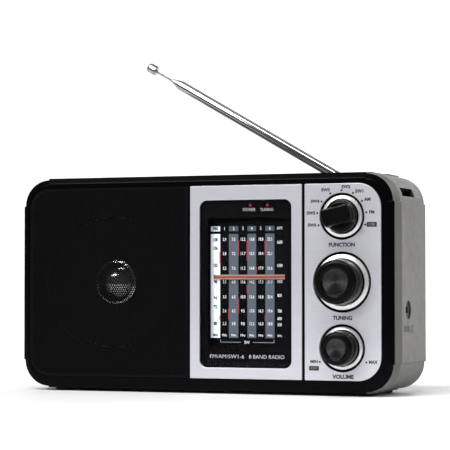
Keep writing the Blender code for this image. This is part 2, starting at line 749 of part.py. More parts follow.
def speaker(looks):
    """A round driver. Local +Z points out of the front; depths are behind the front plane."""
    rim = SPEAKER_RADIUS
    frame = [
        (14.4, 23.6), (24.6, 23.6), (39.6, 9.5), (39.6, 4.0), (rim / MM, 4.0),
        (rim / MM, 5.6), (41.2, 5.6), (41.2, 10.0), (27.0, 23.0), (27.0, 25.4), (14.4, 25.4),
    ]
    magnet = [
        (0, 24.6), (11.4, 24.6), (11.4, 34.0), (14.0, 34.0),
        (14.0, 25.8), (27.5, 25.8), (27.5, 39.0), (0, 39.0),
    ]
    cone = [
        (12.0, 28.0), (12.0, 17.0), (36.5, 7.6), (37.6, 6.6), (38.9, 7.4),
        (38.9, 8.0), (37.6, 7.4), (36.9, 8.3), (13.0, 18.0), (13.0, 28.0),
    ]
    cap = [(x, 16.6 - z) for x, z in arc((0, -7.7), 17.2, 90, 43, 5)]
    cap = [(0, cap[0][1]), *cap[1:], (12.6, 15.6), (11.6, 15.6), (10.5, 12.4), (0, 9.0)]
    for name, profile, look in (
        ("speaker_frame", frame, looks["metal"]),
        ("speaker_magnet", magnet, looks["ferrite"]),
        ("speaker_cone", cone, looks["paper"]),
        ("dust_cap", cap, looks["chrome"]),
    ):
        part = turned(name, [(r * MM, -depth * MM) for r, depth in profile], look, 24)
        facing_front(part, SPEAKER_X, 0)


def batteries(looks):
    """Two rows of two cells, nose to tail, with a coil spring for each row and one bridge."""
    end_radius = 4.8 * MM
    for row, height in enumerate(CELL_ROWS):
        facing = 1 if row == 0 else -1
        for column, middle in enumerate(CELL_COLUMNS):
            body = CELL_LENGTH - 1.8 * MM
            profile = [
                (0, 0), (CELL_RADIUS - MM, 0), (CELL_RADIUS, MM), (CELL_RADIUS, body - MM),
                (CELL_RADIUS - MM, body), (end_radius, body), (end_radius, CELL_LENGTH), (0, CELL_LENGTH),
            ]
            cell = turned(f"battery_cell_{2 * row + column + 1}", profile, looks["cell"], 16)
            start = middle - facing * CELL_LENGTH / 2
            place(cell, at(start, CELL_DEPTH, height), (0, 90 * facing, 0))
    ends = (CELL_COLUMNS[0] - CELL_LENGTH / 2 - GAP, CELL_COLUMNS[1] + CELL_LENGTH / 2 + GAP)
    battery_spring("battery_spring_1", ends[0], -1, CELL_ROWS[0], looks["chrome"])
    battery_spring("battery_spring_2", ends[1], 1, CELL_ROWS[1], looks["chrome"])
    block(
        "battery_bridge",
        (ends[1], CELL_DEPTH - 8 * MM, CELL_ROWS[0] - 6 * MM),
        (ends[1] + 0.5 * MM, CELL_DEPTH + 8 * MM, CELL_ROWS[0] + 6 * MM),
        looks["chrome"],
    )


def battery_spring(name, x, side, height, look):
    """A conical coil spring that presses on a cell's flat end."""
    turns, steps, length = 2.5, 12, 4 * MM
    wire = 0.45 * MM
    curve = bpy.data.curves.new(name, "CURVE")
    curve.dimensions = "3D"
    curve.bevel_depth = wire
    curve.bevel_resolution = 0
    curve.use_fill_caps = True
    count = int(turns * steps) + 1
    spline = curve.splines.new("POLY")
    spline.points.add(count - 1)
    for i, point in enumerate(spline.points):
        part = i / (count - 1)
        turn = 2 * pi * i / steps
        radius = (4 + 4.5 * part) * MM
        away = side * (wire + part * length)
        offset = Vector((away, radius * cos(turn), radius * sin(turn)))
        point.co = (*(at(x, CELL_DEPTH, height) + offset), 1)
    curve.materials.append(look)
    bpy.context.collection.objects.link(bpy.data.objects.new(name, curve))


# ---------------------------------------------------------------- handle and antenna


def carry_handle(looks):
    """A flat U-shaped handle that lies in the tray on top and lifts about its front ends."""
    pivot_depth, pivot_z = HANDLE_PIVOT
    low, high = 55.6 * MM - pivot_z, TOP + 0.4 * MM - pivot_z
    front, back = GRIP_FRONT - pivot_depth, HANDLE_BACK - pivot_depth
    chamfer = 1.2 * MM
    grip = bar("carry_handle", (-GRIP_HALF, front, low), (GRIP_HALF, back, high), looks["shell"])
    edges = grip.modifiers.new("edges", "BEVEL")
    edges.width = chamfer
    edges.segments = 2
    edges.limit_method = "ANGLE"
    reach = 3.3 * MM
    for side in (-1, 1):
        outline = arc((0, 0), reach, 90, 270, 8) + [(front + 2 * MM, -reach), (front + 2 * MM, reach)]
        rings = [[(side * x, y, z) for y, z in outline] for x in (ARM_IN, ARM_OUT)]
        join(grip, loft("arm", rings))
    for side in (-1, 1):
        bore = rod("bore", -9 * MM, 2 * MM, PIN_RADIUS + GAP)
        cut(grip, settle(place(bore, (side * ARM_OUT, 0, 0), (0, 90 * side, 0))))
    place(grip, at(0, pivot_depth, pivot_z))
    for side, name in ((-1, "handle_pin_left"), (1, "handle_pin_right")):
        pin = rod(name, -7.5 * MM, PIN_REACH, PIN_RADIUS, looks["metal"])
        place(pin, at(side * ARM_OUT, pivot_depth, pivot_z), (0, 90 * side, 0))


def antenna_frame(along=0.0):
    """Local +Z runs out along the antenna from its pivot, and local +Y is the world's."""
    x, z = ANTENNA_PIVOT
    turn = Matrix.Rotation(radians(ANTENNA_ELEVATION - 90), 4, "Y")
    return Matrix.Translation(at(x, ANTENNA_DEPTH, z)) @ turn @ Matrix.Translation((0, 0, along))


def antenna_base(look):
    """A disc that swivels on the ledge, with a pin through it and a fork for the elbow."""
    base = rod("antenna_base", 1.5 * MM, 3 * MM, 5.5 * MM, look, 20)
    settle(place(base, (0, 0, 0), (90, 0, 0)))
    pin = settle(place(rod("pin", 2 * MM, 7 * MM, 2 * MM), (0, 0, 0), (90, 0, 0)))
    block_half = 3.4 * MM
    body = bar("body", (-block_half, -2.4 * MM, -4.5 * MM), (block_half, 2.6 * MM, 4.6 * MM))
    join(base, pin, body)
    for side in (-1, 1):
        outline = arc((0, ELBOW_AT), 2.6 * MM, 0, 180, 8) + [(-2.6 * MM, 4 * MM), (2.6 * MM, 4 * MM)]
        rings = [[(side * x, y, z) for y, z in outline] for x in (1.6 * MM, 3.35 * MM)]
        ear = loft("ear", rings)
        hole = rod("hole", -5 * MM, 5 * MM, ELBOW_PIN + GAP, None, 12)
        cut(ear, settle(place(hole, (0, 0, ELBOW_AT), (0, 90, 0))))
        join(base, ear)
    base.matrix_world = antenna_frame()
    return base


def antenna_elbow(look):
    """The tongue between the fork's ears, its pin stubs, and the plug that holds the outer tube."""
    outline = arc((0, 0), 2.6 * MM, 180, 360, 8) + [(2.6 * MM, 4.5 * MM), (-2.6 * MM, 4.5 * MM)]
    tongue = loft("antenna_elbow", [[(x, y, z) for y, z in outline] for x in (-1.3 * MM, 1.3 * MM)], look)
    pin = settle(place(rod("pin", -3.3 * MM, 3.3 * MM, ELBOW_PIN, None, 12), (0, 0, 0), (0, 90, 0)))
    collar = rod("collar", 4 * MM, 6.2 * MM, 3.2 * MM, None, 12)
    plug = rod("plug", 5 * MM, 12 * MM, 2.5 * MM, None, 12)
    join(tongue, pin, collar, plug)
    tongue.matrix_world = antenna_frame(ELBOW_AT)
    return tongue


def antenna_sections(look):
    """Nested tubes, each a little longer at the top than the one around it, and the tipped rod."""
    start = ELBOW_AT + 6.5 * MM
    for i, (outer, inner) in enumerate(SECTIONS):
        low = start if i == 0 else start + (7 + i) * MM
        high = SECTION_END + i * SECTION_STEP
        outer *= MM
        inner *= MM
        mouth = [(outer, high - 0.5 * MM), (outer - 0.15 * MM, high), (inner, high)]
        profile = [(inner, low), (outer, low), *mouth]
        tube = turned(f"antenna_tube_{i + 1}", profile, look, 12)
        tube.matrix_world = antenna_frame()
    low = start + 26 * MM
    tip = ROD_TIP - 6.5 * MM
    wide = 3.0 * MM
    profile = [
        (0, low), (0.8 * MM, low), (0.8 * MM, tip), (wide - 0.4 * MM, tip), (wide, tip + 0.4 * MM),
        (wide, ROD_TIP - 0.6 * MM), (wide - 0.6 * MM, ROD_TIP), (0, ROD_TIP),
    ]
    rod = turned("antenna_rod", profile, look, 12)
    rod.matrix_world = antenna_frame()


def build():
    looks = {
        "black": material("black_plastic", (0.010, 0.010, 0.012), 0.32),
        "shell": material("grey_plastic", (0.30, 0.30, 0.275), 0.55),
        "rear": material("dark_plastic", (0.06, 0.06, 0.06), 0.6),
        "silver": material("silver_panel", (0.62, 0.62, 0.64), 0.35, 0.7),
        "brushed": material("brushed_panel", (0.60, 0.60, 0.63), 0.35, 0.7),
        "grille": material("grille_black", (0.008, 0.008, 0.009), 0.5, 0.3),
        "window": material("window_clear", (0.02, 0.02, 0.025), 0.08),
        "scale": material("scale_print", (0.02, 0.02, 0.025), 0.5),
        "led": material("led_red", (0.6, 0.02, 0.02), 0.2),
        "chrome": material("bright_metal", (0.75, 0.75, 0.77), 0.15, 1.0),
        "knob": material("knob_black", (0.015, 0.015, 0.016), 0.25),
        "metal": material("plated_steel", (0.5, 0.5, 0.5), 0.4, 1.0),
        "nylon": material("nylon_white", (0.7, 0.7, 0.66), 0.5),
        "cord": material("dial_cord_green", (0.25, 0.3, 0.2), 0.8),
        "pointer": material("pointer_red", (0.7, 0.08, 0.04), 0.4),
        "polymer": material("moulded_black", (0.03, 0.03, 0.03), 0.5),
        "board": material("board_green", (0.03, 0.14, 0.06), 0.5),
        "ferrite": material("ferrite_grey", (0.06, 0.06, 0.065), 0.6),
        "copper": material("copper_wire", (0.6, 0.25, 0.12), 0.4, 0.8),
        "iron": material("laminated_iron", (0.25, 0.25, 0.26), 0.5, 0.8),
        "paper": material("cone_paper", (0.02, 0.02, 0.02), 0.9),
        "cell": material("cell_jacket", (0.10, 0.12, 0.25), 0.35),
        "rubber": material("foot_rubber", (0.02, 0.02, 0.02), 0.85),
    }
    front_cabinet(looks["black"])
    middle_shell(looks["shell"])
    rear_cover(looks["rear"])
    battery_door(looks["rear"])
    feet(looks["rubber"])
    trim(looks)
    dishes(looks["chrome"])
    knobs(looks["knob"])
    shafts(looks["metal"])
    control_bodies(looks)
    dial_drive(looks)
    electronics(looks)
    speaker(looks)
    batteries(looks)
    carry_handle(looks)
    antenna_base(looks["chrome"])
    antenna_elbow(looks["chrome"])
    antenna_sections(looks["chrome"])


for old in list(bpy.data.objects):
    bpy.data.objects.remove(old)
CUTTER = material("cutter", (0.5, 0.5, 0.5), 0.5)
build()
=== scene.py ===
import json
from math import atan2, cos, degrees, pi, radians, sin

import bmesh
import bpy
from mathutils import Matrix, Vector, geometry


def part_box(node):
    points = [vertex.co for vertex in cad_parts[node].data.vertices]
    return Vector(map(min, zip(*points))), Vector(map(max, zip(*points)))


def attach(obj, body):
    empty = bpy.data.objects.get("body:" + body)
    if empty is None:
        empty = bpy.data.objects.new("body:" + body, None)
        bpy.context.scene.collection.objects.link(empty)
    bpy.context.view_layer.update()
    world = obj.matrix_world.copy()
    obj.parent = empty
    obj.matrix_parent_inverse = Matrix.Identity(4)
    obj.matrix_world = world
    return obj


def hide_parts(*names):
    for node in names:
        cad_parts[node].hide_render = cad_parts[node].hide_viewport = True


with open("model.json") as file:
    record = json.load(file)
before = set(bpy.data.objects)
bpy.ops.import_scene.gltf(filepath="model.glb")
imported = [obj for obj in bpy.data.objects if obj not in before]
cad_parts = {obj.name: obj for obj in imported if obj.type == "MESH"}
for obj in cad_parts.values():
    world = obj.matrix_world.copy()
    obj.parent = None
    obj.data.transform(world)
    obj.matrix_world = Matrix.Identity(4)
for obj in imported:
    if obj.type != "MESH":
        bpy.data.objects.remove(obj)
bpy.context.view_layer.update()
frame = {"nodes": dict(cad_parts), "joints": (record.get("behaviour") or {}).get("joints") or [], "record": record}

NODES = frame["nodes"]
MM = 0.001
GAP = 0.3 * MM
FILM = 0.02 * MM

# The frame's own measures: the front plane, the panels' middle height and the main boxes
FRONT_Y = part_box("front_cabinet")[0].y
MID_Z = (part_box("control_panel")[0].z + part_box("control_panel")[1].z) / 2


def mm(*sizes):
    """Millimetres as metres."""
    return tuple(size * MM for size in sizes)


def at(x, depth, height):
    """A point from its place across, behind the front plane and above the panels' middle."""
    return Vector((x, FRONT_Y + depth, MID_Z + height))


def area_of(node):
    """A node's box seen from the front: left, right, low and high, in the terms of at()."""
    low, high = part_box(node)
    return low.x, high.x, low.z - MID_Z, high.z - MID_Z


def depths_of(node):
    low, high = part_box(node)
    return low.y - FRONT_Y, high.y - FRONT_Y


def centre_of(node):
    x0, x1, z0, z1 = area_of(node)
    return (x0 + x1) / 2, (z0 + z1) / 2


def radius_of(node):
    x0, x1, *_ = area_of(node)
    return (x1 - x0) / 2


SHELL = area_of("middle_shell")
SHELL_FRONT, SHELL_BACK = depths_of("middle_shell")
CASE_WIDTH = SHELL[1] - SHELL[0]
CASE_HEIGHT = SHELL[3] - SHELL[2]
CASE_MIDDLE = (SHELL[3] + SHELL[2]) / 2
TOP = SHELL[3]
CASE_DEPTH = depths_of("rear_cover")[1]
CORNER = 17.2 * MM
CORNER_STEP = 0.9 * MM
WALL = 3.2 * MM
FLARE_DEPTH = 7.0 * MM
SKIN = 0.1 * MM
ARC_STEPS = 22


# ---- shapes


def arc(centre, radius, start, end, steps):
    """Points (x, z) along an arc, angles in degrees."""
    turns = [radians(start + (end - start) * i / steps) for i in range(steps + 1)]
    return [(centre[0] + radius * cos(t), centre[1] + radius * sin(t)) for t in turns]


def soften(path, closed=False, steps=4):
    """Rounds a path's corners. Each point ends with how far its rounding runs along both sides."""
    points = []
    for i, (*corner, reach) in enumerate(path):
        here = Vector(corner)
        if reach == 0 or (not closed and i in (0, len(path) - 1)):
            points.append(tuple(here))
            continue
        arms = []
        for other in (path[i - 1], path[(i + 1) % len(path)]):
            side = Vector(other[:-1]) - here
            arms.append(here + side * min(0.49, reach / side.length))
        for k in range(steps + 1):
            t = k / steps
            points.append(tuple(arms[0] * (1 - t) ** 2 + here * 2 * t * (1 - t) + arms[1] * t * t))
    return points


def piece(name, points, faces, look, angle=38):
    """A mesh piece with its faces outwards and smooth up to the given angle."""
    mesh = bpy.data.meshes.new(name)
    mesh.from_pydata([tuple(p) for p in points], [], faces)
    shape = bmesh.new()
    shape.from_mesh(mesh)
    bmesh.ops.recalc_face_normals(shape, faces=shape.faces)
    shape.to_mesh(mesh)
    shape.free()
    return shown(name, mesh, look, angle)


def shown(name, mesh, look, angle):
    mesh.name = name
    mesh.shade_smooth()
    mesh.set_sharp_from_angle(angle=radians(angle))
    for one in look if isinstance(look, list) else [look]:
        mesh.materials.append(one)
    return linked(name, mesh)


def linked(name, data):
    thing = bpy.data.objects.new(name, data)
    bpy.context.collection.objects.link(thing)
    return thing


def walls(first, count):
    """The quads between an outline's points and the copy that follows them."""
    pairs = [(first + i, first + (i + 1) % count) for i in range(count)]
    return [[a, b, b + count, a + count] for a, b in pairs]


def loft(name, rings, look=None, angle=38):
    """A solid through rings of equal point counts, closed at both ends."""
    count = len(rings[0])
    points = [p for ring in rings for p in ring]
    faces = [list(range(count)), [count * (len(rings) - 1) + i for i in range(count)]]
    for k in range(len(rings) - 1):
        faces += walls(k * count, count)
    return piece(name, points, faces, look, angle)


def turned(name, profile, look, segments):
    """A solid turned about local +Z from (radius, height) pairs, closed as a tube if it has a bore."""
    points, rows = [], []
    for radius, height in profile:
        if radius < 1e-7:
            rows.append([len(points)])
            points.append((0, 0, height))
            continue
        rows.append([len(points) + i for i in range(segments)])
        for i in range(segments):
            turn = 2 * pi * i / segments
            points.append((radius * cos(turn), radius * sin(turn), height))
    pairs = list(zip(rows, rows[1:]))
    if profile[0][0] > 1e-7:
        pairs.append((rows[-1], rows[0]))
    faces = []
    for low, high in pairs:
        for i in range(segments):
            j = (i + 1) % segments
            ring = [low[i % len(low)], low[j % len(low)], high[j % len(high)], high[i % len(high)]]
            faces.append(list(dict.fromkeys(ring)))
    return piece(name, points, [f for f in faces if len(f) > 2], look)


def rod(low, high, radius, segments=48):
    """A round bar along local +Z."""
    return turned("rod", [(0, low), (radius, low), (radius, high), (0, high)], None, segments)


def block(name, low, high, look=None):
    """A box between two corners given as (x, depth, height)."""
    (x0, y0, z0), (x1, y1, z1) = low, high
    ring = [(x0, z0), (x1, z0), (x1, z1), (x0, z1)]
    return loft(name, [[at(x, y, z) for x, z in ring] for y in (y0, y1)], look)


def slab(name, x, half, depths, heights):
    """A box centred across on x."""
    return block(name, (x - half, depths[0], heights[0]), (x + half, depths[1], heights[1]))


def bar(name, low, high, look=None):
    """A box between two corners in plain local coordinates."""
    (x0, y0, z0), (x1, y1, z1) = low, high
    rings = [[(x0, y0, z), (x1, y0, z), (x1, y1, z), (x0, y1, z)] for z in (z0, z1)]
    return loft(name, rings, look)


def place(thing, location, rotation=(0, 0, 0)):
    thing.location = location
    thing.rotation_euler = [radians(a) for a in rotation]
    return thing


def settle(thing):
    """Folds an object's place into its mesh."""
    bpy.context.view_layer.update()
    thing.data.transform(thing.matrix_world)
    thing.matrix_world = Matrix.Identity(4)
    return thing


def evaluated(thing):
    bpy.context.view_layer.update()
    graph = bpy.context.evaluated_depsgraph_get()
    return bpy.data.meshes.new_from_object(thing.evaluated_get(graph), depsgraph=graph)


def applied(thing):
    """Folds an object's modifiers into its mesh."""
    mesh = evaluated(thing)
    thing.modifiers.clear()
    thing.data = mesh
    mesh.name = thing.name
    return thing


def surface_of(curve):
    """A curve's filled surface as a mesh."""
    thing = linked("curve", curve)
    mesh = evaluated(thing)
    bpy.data.objects.remove(thing)
    return mesh


def combine(target, tool, operation="DIFFERENCE"):
    """Applies one exact boolean and throws the tool away."""
    step = target.modifiers.new(operation.lower(), "BOOLEAN")
    step.operation = operation
    step.solver = "EXACT"
    step.object = tool
    applied(target)
    bpy.data.objects.remove(tool)


def cut(target, *tools):
    for tool in tools:
        combine(target, tool)
    return target


def join(target, *tools):
    for tool in tools:
        combine(target, tool, "UNION")
    return target


def bevelled(thing, width, angle, segments=2):
    edges = thing.modifiers.new("edges", "BEVEL")
    edges.width = width
    edges.segments = segments
    edges.limit_method = "ANGLE"
    edges.angle_limit = radians(angle)
    return edges


def eased(thing, width, angle=40, segments=2):
    """Small rounded edges on everything sharper than the angle, with flat faces that stay flat."""
    bevelled(thing, width, angle, segments).miter_outer = "MITER_ARC"
    applied(thing).data.shade_smooth()
    return flat_kept(thing)


def flat_kept(thing):
    even = thing.modifiers.new("even", "WEIGHTED_NORMAL")
    even.keep_sharp = True
    return thing


def painted(thing, test):
    """Gives the faces whose middle passes a test the second finish."""
    for face in thing.data.polygons:
        if test(face.center):
            face.material_index = 1


def out_of_front(x, depth, height):
    """The frame at a place whose local +Z points out of the front."""
    return Matrix.Translation(at(x, depth, height)) @ Matrix.Rotation(radians(90), 4, "X")


def facing_front(thing, x, height, spin=0.0):
    thing.matrix_world = out_of_front(x, 0, height) @ Matrix.Rotation(radians(spin), 4, "Z")
    return thing


def front_hole(x, height, radius, front=-5 * MM, back=9 * MM, segments=96):
    return settle(facing_front(rod(-back, -front, radius, segments), x, height))


def side_hole(tool, x, depth, height, way=1):
    """Lays a tool's local +Z across, out of the case's right or left side."""
    return settle(place(tool, at(x, depth, height), (0, 90 * way, 0)))


def case_ring(width, height, depth, corner):
    """The case's section at a depth. Each corner arc lies a little inside the flats it joins."""
    path = []
    for i, (side, up) in enumerate(((1, 1), (-1, 1), (-1, -1), (1, -1))):
        centre = (side * (width / 2 - corner), up * (height / 2 - corner))
        first, *curve, last = arc(centre, corner - CORNER_STEP, 90 * i, 90 * i + 90, ARC_STEPS)
        start, end = arc(centre, corner, 90 * i, 90 * i + 90, 1)
        path += [(*start, 0.5 * MM), (*first, 0.3 * MM)]
        path += [(x, z, 0) for x, z in curve]
        path += [(*last, 0.3 * MM), (*end, 0.5 * MM)]
    return [at(x, depth, z + CASE_MIDDLE) for x, z in soften(path, True, 3)]


def rounded_outline(area, left, right, steps=16):
    """A rectangle with its left and right corners rounded to two radii."""
    x0, x1, z0, z1 = area
    points = arc((x1 - right, z1 - right), right, 0, 90, steps)
    points += arc((x0 + left, z1 - left), left, 90, 180, steps)
    points += arc((x0 + left, z0 + left), left, 180, 270, steps)
    points += arc((x1 - right, z0 + right), right, 270, 360, steps)
    return points


def plate(name, area, left, right, back):
    outline = rounded_outline(area, left, right)
    return loft(name, [[at(x, y, z) for x, z in outline] for y in (-MM, back)])


def grown(area, margin):
    x0, x1, z0, z1 = area
    return (x0 - margin, x1 + margin, z0 - margin, z1 + margin)


def sheet_metal(name, outlines, front, back, edge, look):
    """A flat plate facing the front from closed outlines, inner ones being holes, with rounded edges."""
    curve = bpy.data.curves.new(name, "CURVE")
    curve.dimensions = "2D"
    curve.fill_mode = "BOTH"
    curve.extrude = (back - front) / 2 - edge
    curve.bevel_depth = edge
    curve.bevel_resolution = 2
    curve.offset = -edge
    for outline in outlines:
        spline = curve.splines.new("POLY")
        spline.points.add(len(outline) - 1)
        spline.use_cyclic_u = True
        for point, (x, z) in zip(spline.points, outline):
            point.co = (x, z, 0, 1)
    mesh = surface_of(curve)
    mesh.transform(out_of_front(0, (front + back) / 2, 0))
    mesh.materials.clear()
    flat_map(mesh)
    return flat_kept(shown(name, mesh, look, 50))


def flat_map(mesh):
    """A plain map over the front, which the brushed finish takes its direction from."""
    layer = mesh.uv_layers.get("brush") or mesh.uv_layers.new(name="brush")
    for loop in mesh.loops:
        point = mesh.vertices[loop.vertex_index].co
        layer.data[loop.index].uv = (point.x, point.z)


def lettering(name, words, depth, look, weight):
    """Words printed as one film: (text, x, height, size, squeeze) each, and its side if not centred."""
    film = bmesh.new()
    for text, x, height, size, squeeze, *side in words:
        curve = bpy.data.curves.new("word", "FONT")
        curve.body = text
        curve.size = size * MM
        curve.align_x = side[0] if side else "CENTER"
        curve.align_y = "CENTER"
        curve.extrude = FILM / 2
        curve.offset = size * MM * weight
        curve.resolution_u = 3
        mesh = surface_of(curve)
        mesh.transform(out_of_front(x * MM, depth, height * MM) @ Matrix.Diagonal((squeeze, 1, 1, 1)))
        film.from_mesh(mesh)
        bpy.data.meshes.remove(mesh)
    mesh = bpy.data.meshes.new(name)
    film.to_mesh(mesh)
    film.free()
    return ridden(shown(name, mesh, look, 30), "case")


def patches(name, areas, depth, look):
    """Printed rectangles, lines and dots as one thin film. Each is an outline of (x, z) in mm."""
    points, faces = [], []
    for outline in areas:
        first, count = len(points), len(outline)
        for y in (depth - FILM, depth):
            points += [at(x * MM, y, z * MM) for x, z in outline]
        faces.append([first + i for i in range(count)])
        faces.append([first + count + i for i in range(count)])
        faces += walls(first, count)
    return ridden(piece(name, points, faces, look, 30), "case")


def oblong(x0, x1, z0, z1):
    return [(x0, z0), (x1, z0), (x1, z1), (x0, z1)]


def dot(x, z, radius):
    return arc((x, z), radius, 0, 345, 23)


def ridden(thing, body, *nodes, slot=None):
    """The piece rides on a body and stands for any given nodes; its slot argument is not used."""
    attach(thing, body)
    if nodes:
        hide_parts(*nodes)
    return thing


# ---- materials


def add(tree, kind, inputs=None, **settings):
    made = tree.nodes.new(kind)
    for key, value in settings.items():
        setattr(made, key, value)
    for key, value in (inputs or {}).items():
        if isinstance(value, bpy.types.NodeSocket):
            tree.links.new(value, made.inputs[key])
        else:
            made.inputs[key].default_value = value
    return made


def grain(tree, size, low, high, stretch):
    """Noise whose features are about size across, as values between low and high."""
    where = add(tree, "ShaderNodeTexCoord").outputs["Object"]
    scale = [s / size for s in stretch]
    mapped = add(tree, "ShaderNodeMapping", {"Vector": where, "Scale": scale}).outputs["Vector"]
    noise = add(tree, "ShaderNodeTexNoise", {"Vector": mapped, "Scale": 1.0, "Detail": 3.0})
    limits = {"From Min": 0.3, "From Max": 0.7, "To Min": low, "To Max": high}
    return add(tree, "ShaderNodeMapRange", {"Value": noise.outputs["Fac"], **limits}).outputs["Result"]


def blended(tree, share, first, second):
    mix = add(tree, "ShaderNodeMix", data_type="RGBA")
    for socket, value in ((mix.inputs[0], share), (mix.inputs[6], first), (mix.inputs[7], second)):
        if isinstance(value, bpy.types.NodeSocket):
            tree.links.new(value, socket)
        else:
            socket.default_value = value
    return mix.outputs[2]


def tinted(colour, factor):
    return (*[min(1.0, c * factor) for c in colour], 1.0)


def finish(
    name, colour, roughness, *bumps, metallic=0.0, vary=0.08, rough_vary=0.06, patch=6 * MM,
    stretch=(1, 1, 1), wear=0.0, **sockets,
):
    """A procedural surface: tone and gloss drift in patches, bumps are (size, height) in mm, edges wear."""
    look = bpy.data.materials.new(name)
    look.use_nodes = True
    look.diffuse_color = (*colour, 1.0)
    tree = look.node_tree
    shader = tree.nodes["Principled BSDF"]
    drift = grain(tree, patch, 0.0, 1.0, stretch)
    tone = blended(tree, drift, tinted(colour, 1 - vary), tinted(colour, 1 + vary))
    if wear:
        pointed = add(tree, "ShaderNodeNewGeometry").outputs["Pointiness"]
        limits = {"From Min": 0.52, "From Max": 0.62, "To Min": 0.0, "To Max": wear}
        edge = add(tree, "ShaderNodeMapRange", {"Value": pointed, **limits}).outputs["Result"]
        tone = blended(tree, edge, tone, tinted([c + 0.25 for c in colour], 1.0))
    tree.links.new(tone, shader.inputs["Base Color"])
    gloss = grain(tree, patch * 0.6, roughness - rough_vary, roughness + rough_vary, stretch)
    tree.links.new(gloss, shader.inputs["Roughness"])
    shader.inputs["Metallic"].default_value = metallic
    normal = None
    for size, height in bumps:
        relief = grain(tree, size * MM, 0.0, 1.0, stretch)
        lumps = {"Height": relief, "Distance": height * MM, "Strength": 1.0}
        if normal:
            lumps["Normal"] = normal
        normal = add(tree, "ShaderNodeBump", lumps).outputs["Normal"]
    if normal:
        tree.links.new(normal, shader.inputs["Normal"])
    for key, value in sockets.items():
        shader.inputs[key.replace("_", " ")].default_value = value
    return look


def directed(look, direction):
    """Points a brushed finish's highlights along a map or round an axis."""
    tree = look.node_tree
    tangent = add(tree, "ShaderNodeTangent", direction_type=direction)
    if direction == "UV_MAP":
        tangent.uv_map = "brush"
    else:
        tangent.axis = "Z"
    tree.links.new(tangent.outputs["Tangent"], tree.nodes["Principled BSDF"].inputs["Tangent"])
    return look


def see_through(name, tint):
    """Clear acrylic that lamps shine through."""
    look = finish(name, tint, 0.03, (9, 0.002), rough_vary=0.01, vary=0.0)
    tree = look.node_tree
    shader = tree.nodes["Principled BSDF"]
    shader.inputs["Transmission Weight"].default_value = 1.0
    shader.inputs["IOR"].default_value = 1.1
    clear = add(tree, "ShaderNodeBsdfTransparent", {"Color": (0.98, 0.98, 0.98, 1.0)})
    shadow = add(tree, "ShaderNodeLightPath").outputs["Is Shadow Ray"]
    mix = add(tree, "ShaderNodeMixShader", {0: shadow, 1: shader.outputs[0], 2: clear.outputs[0]})
    tree.links.new(mix.outputs[0], tree.nodes["Material Output"].inputs["Surface"])
    return look


FINE = ((0.35, 0.006), (1.6, 0.004))
BLACK_GLOSS = finish(
    "black_gloss", (0.0012, 0.0010, 0.0015), 0.2, (0.9, 0.0012), rough_vary=0.02, Specular_IOR_Level=0.05
)
GREY_CASE = finish(
    "grey_case", (0.117, 0.114, 0.104), 0.5, *FINE, wear=0.08, vary=0.04, Specular_IOR_Level=0.35
)
REAR_CASE = finish("rear_case", (0.035, 0.035, 0.037), 0.55, (0.5, 0.02), wear=0.10)
BRUSHED = directed(
    finish(
        "brushed_silver", (0.72, 0.72, 0.78), 0.38, (0.12, 0.0012), metallic=0.6, vary=0.05,
        rough_vary=0.07, patch=0.16 * MM, stretch=(0.012, 1, 1), Anisotropic=0.6,
    ),
    "UV_MAP",
)
GRILLE_BLACK = finish(
    "grille_black", (0.0044, 0.0039, 0.0046), 0.36, (0.3, 0.003), rough_vary=0.03, Specular_IOR_Level=0.05
)
WINDOW_CLEAR = see_through("window_clear", (0.98, 0.985, 0.99))
MASK_BLACK = finish("mask_black", (0.001, 0.001, 0.0017), 0.4, (5, 0.002), Specular_IOR_Level=0.04)


def printed(name, colour, roughness=0.5, **more):
    """Ink, as a thin film with a fine even surface."""
    return finish(name, colour, roughness, (0.2, 0.001), **more)


PRINT_WHITE = printed("print_white", (0.92, 0.94, 0.97), vary=0.03)
PRINT_FM = printed("print_fm", (0.80, 0.87, 0.97), vary=0.03)
PRINT_BLUE = printed("print_blue", (0.040, 0.055, 0.077), vary=0.06)
PRINT_RED = printed("print_red", (0.19, 0.008, 0.014), vary=0.06)
PRINT_BLACK = printed("print_black", (0.008, 0.008, 0.009), vary=0.1)
PRINT_GREY = printed("print_grey", (0.25, 0.26, 0.28))
PRINT_SILVER = printed("print_silver", (0.50, 0.50, 0.52), 0.45, metallic=0.5)


def lit_led():
    """A red lens with its chip glowing in the middle."""
    look = finish("led_red", (0.10, 0.003, 0.006), 0.2, (1, 0.002), Coat_Weight=0.4)
    tree = look.node_tree
    shader = tree.nodes["Principled BSDF"]
    where = add(tree, "ShaderNodeTexCoord").outputs["Object"]
    flat = add(tree, "ShaderNodeVectorMath", {0: where, 1: (1, 1, 0)}, operation="MULTIPLY").outputs[0]
    away = add(tree, "ShaderNodeVectorMath", {0: flat}, operation="LENGTH").outputs["Value"]
    fall = {"Value": away, "From Min": 0.1 * MM, "From Max": 0.8 * MM, "To Min": 1.0, "To Max": 0.0}
    near = add(tree, "ShaderNodeMapRange", fall, interpolation_type="SMOOTHSTEP").outputs["Result"]
    glow = blended(tree, near, (0.08, 0.0, 0.004, 1.0), (1.0, 0.25, 0.28, 1.0))
    tree.links.new(glow, shader.inputs["Emission Color"])
    shader.inputs["Emission Strength"].default_value = 0.3
    return look


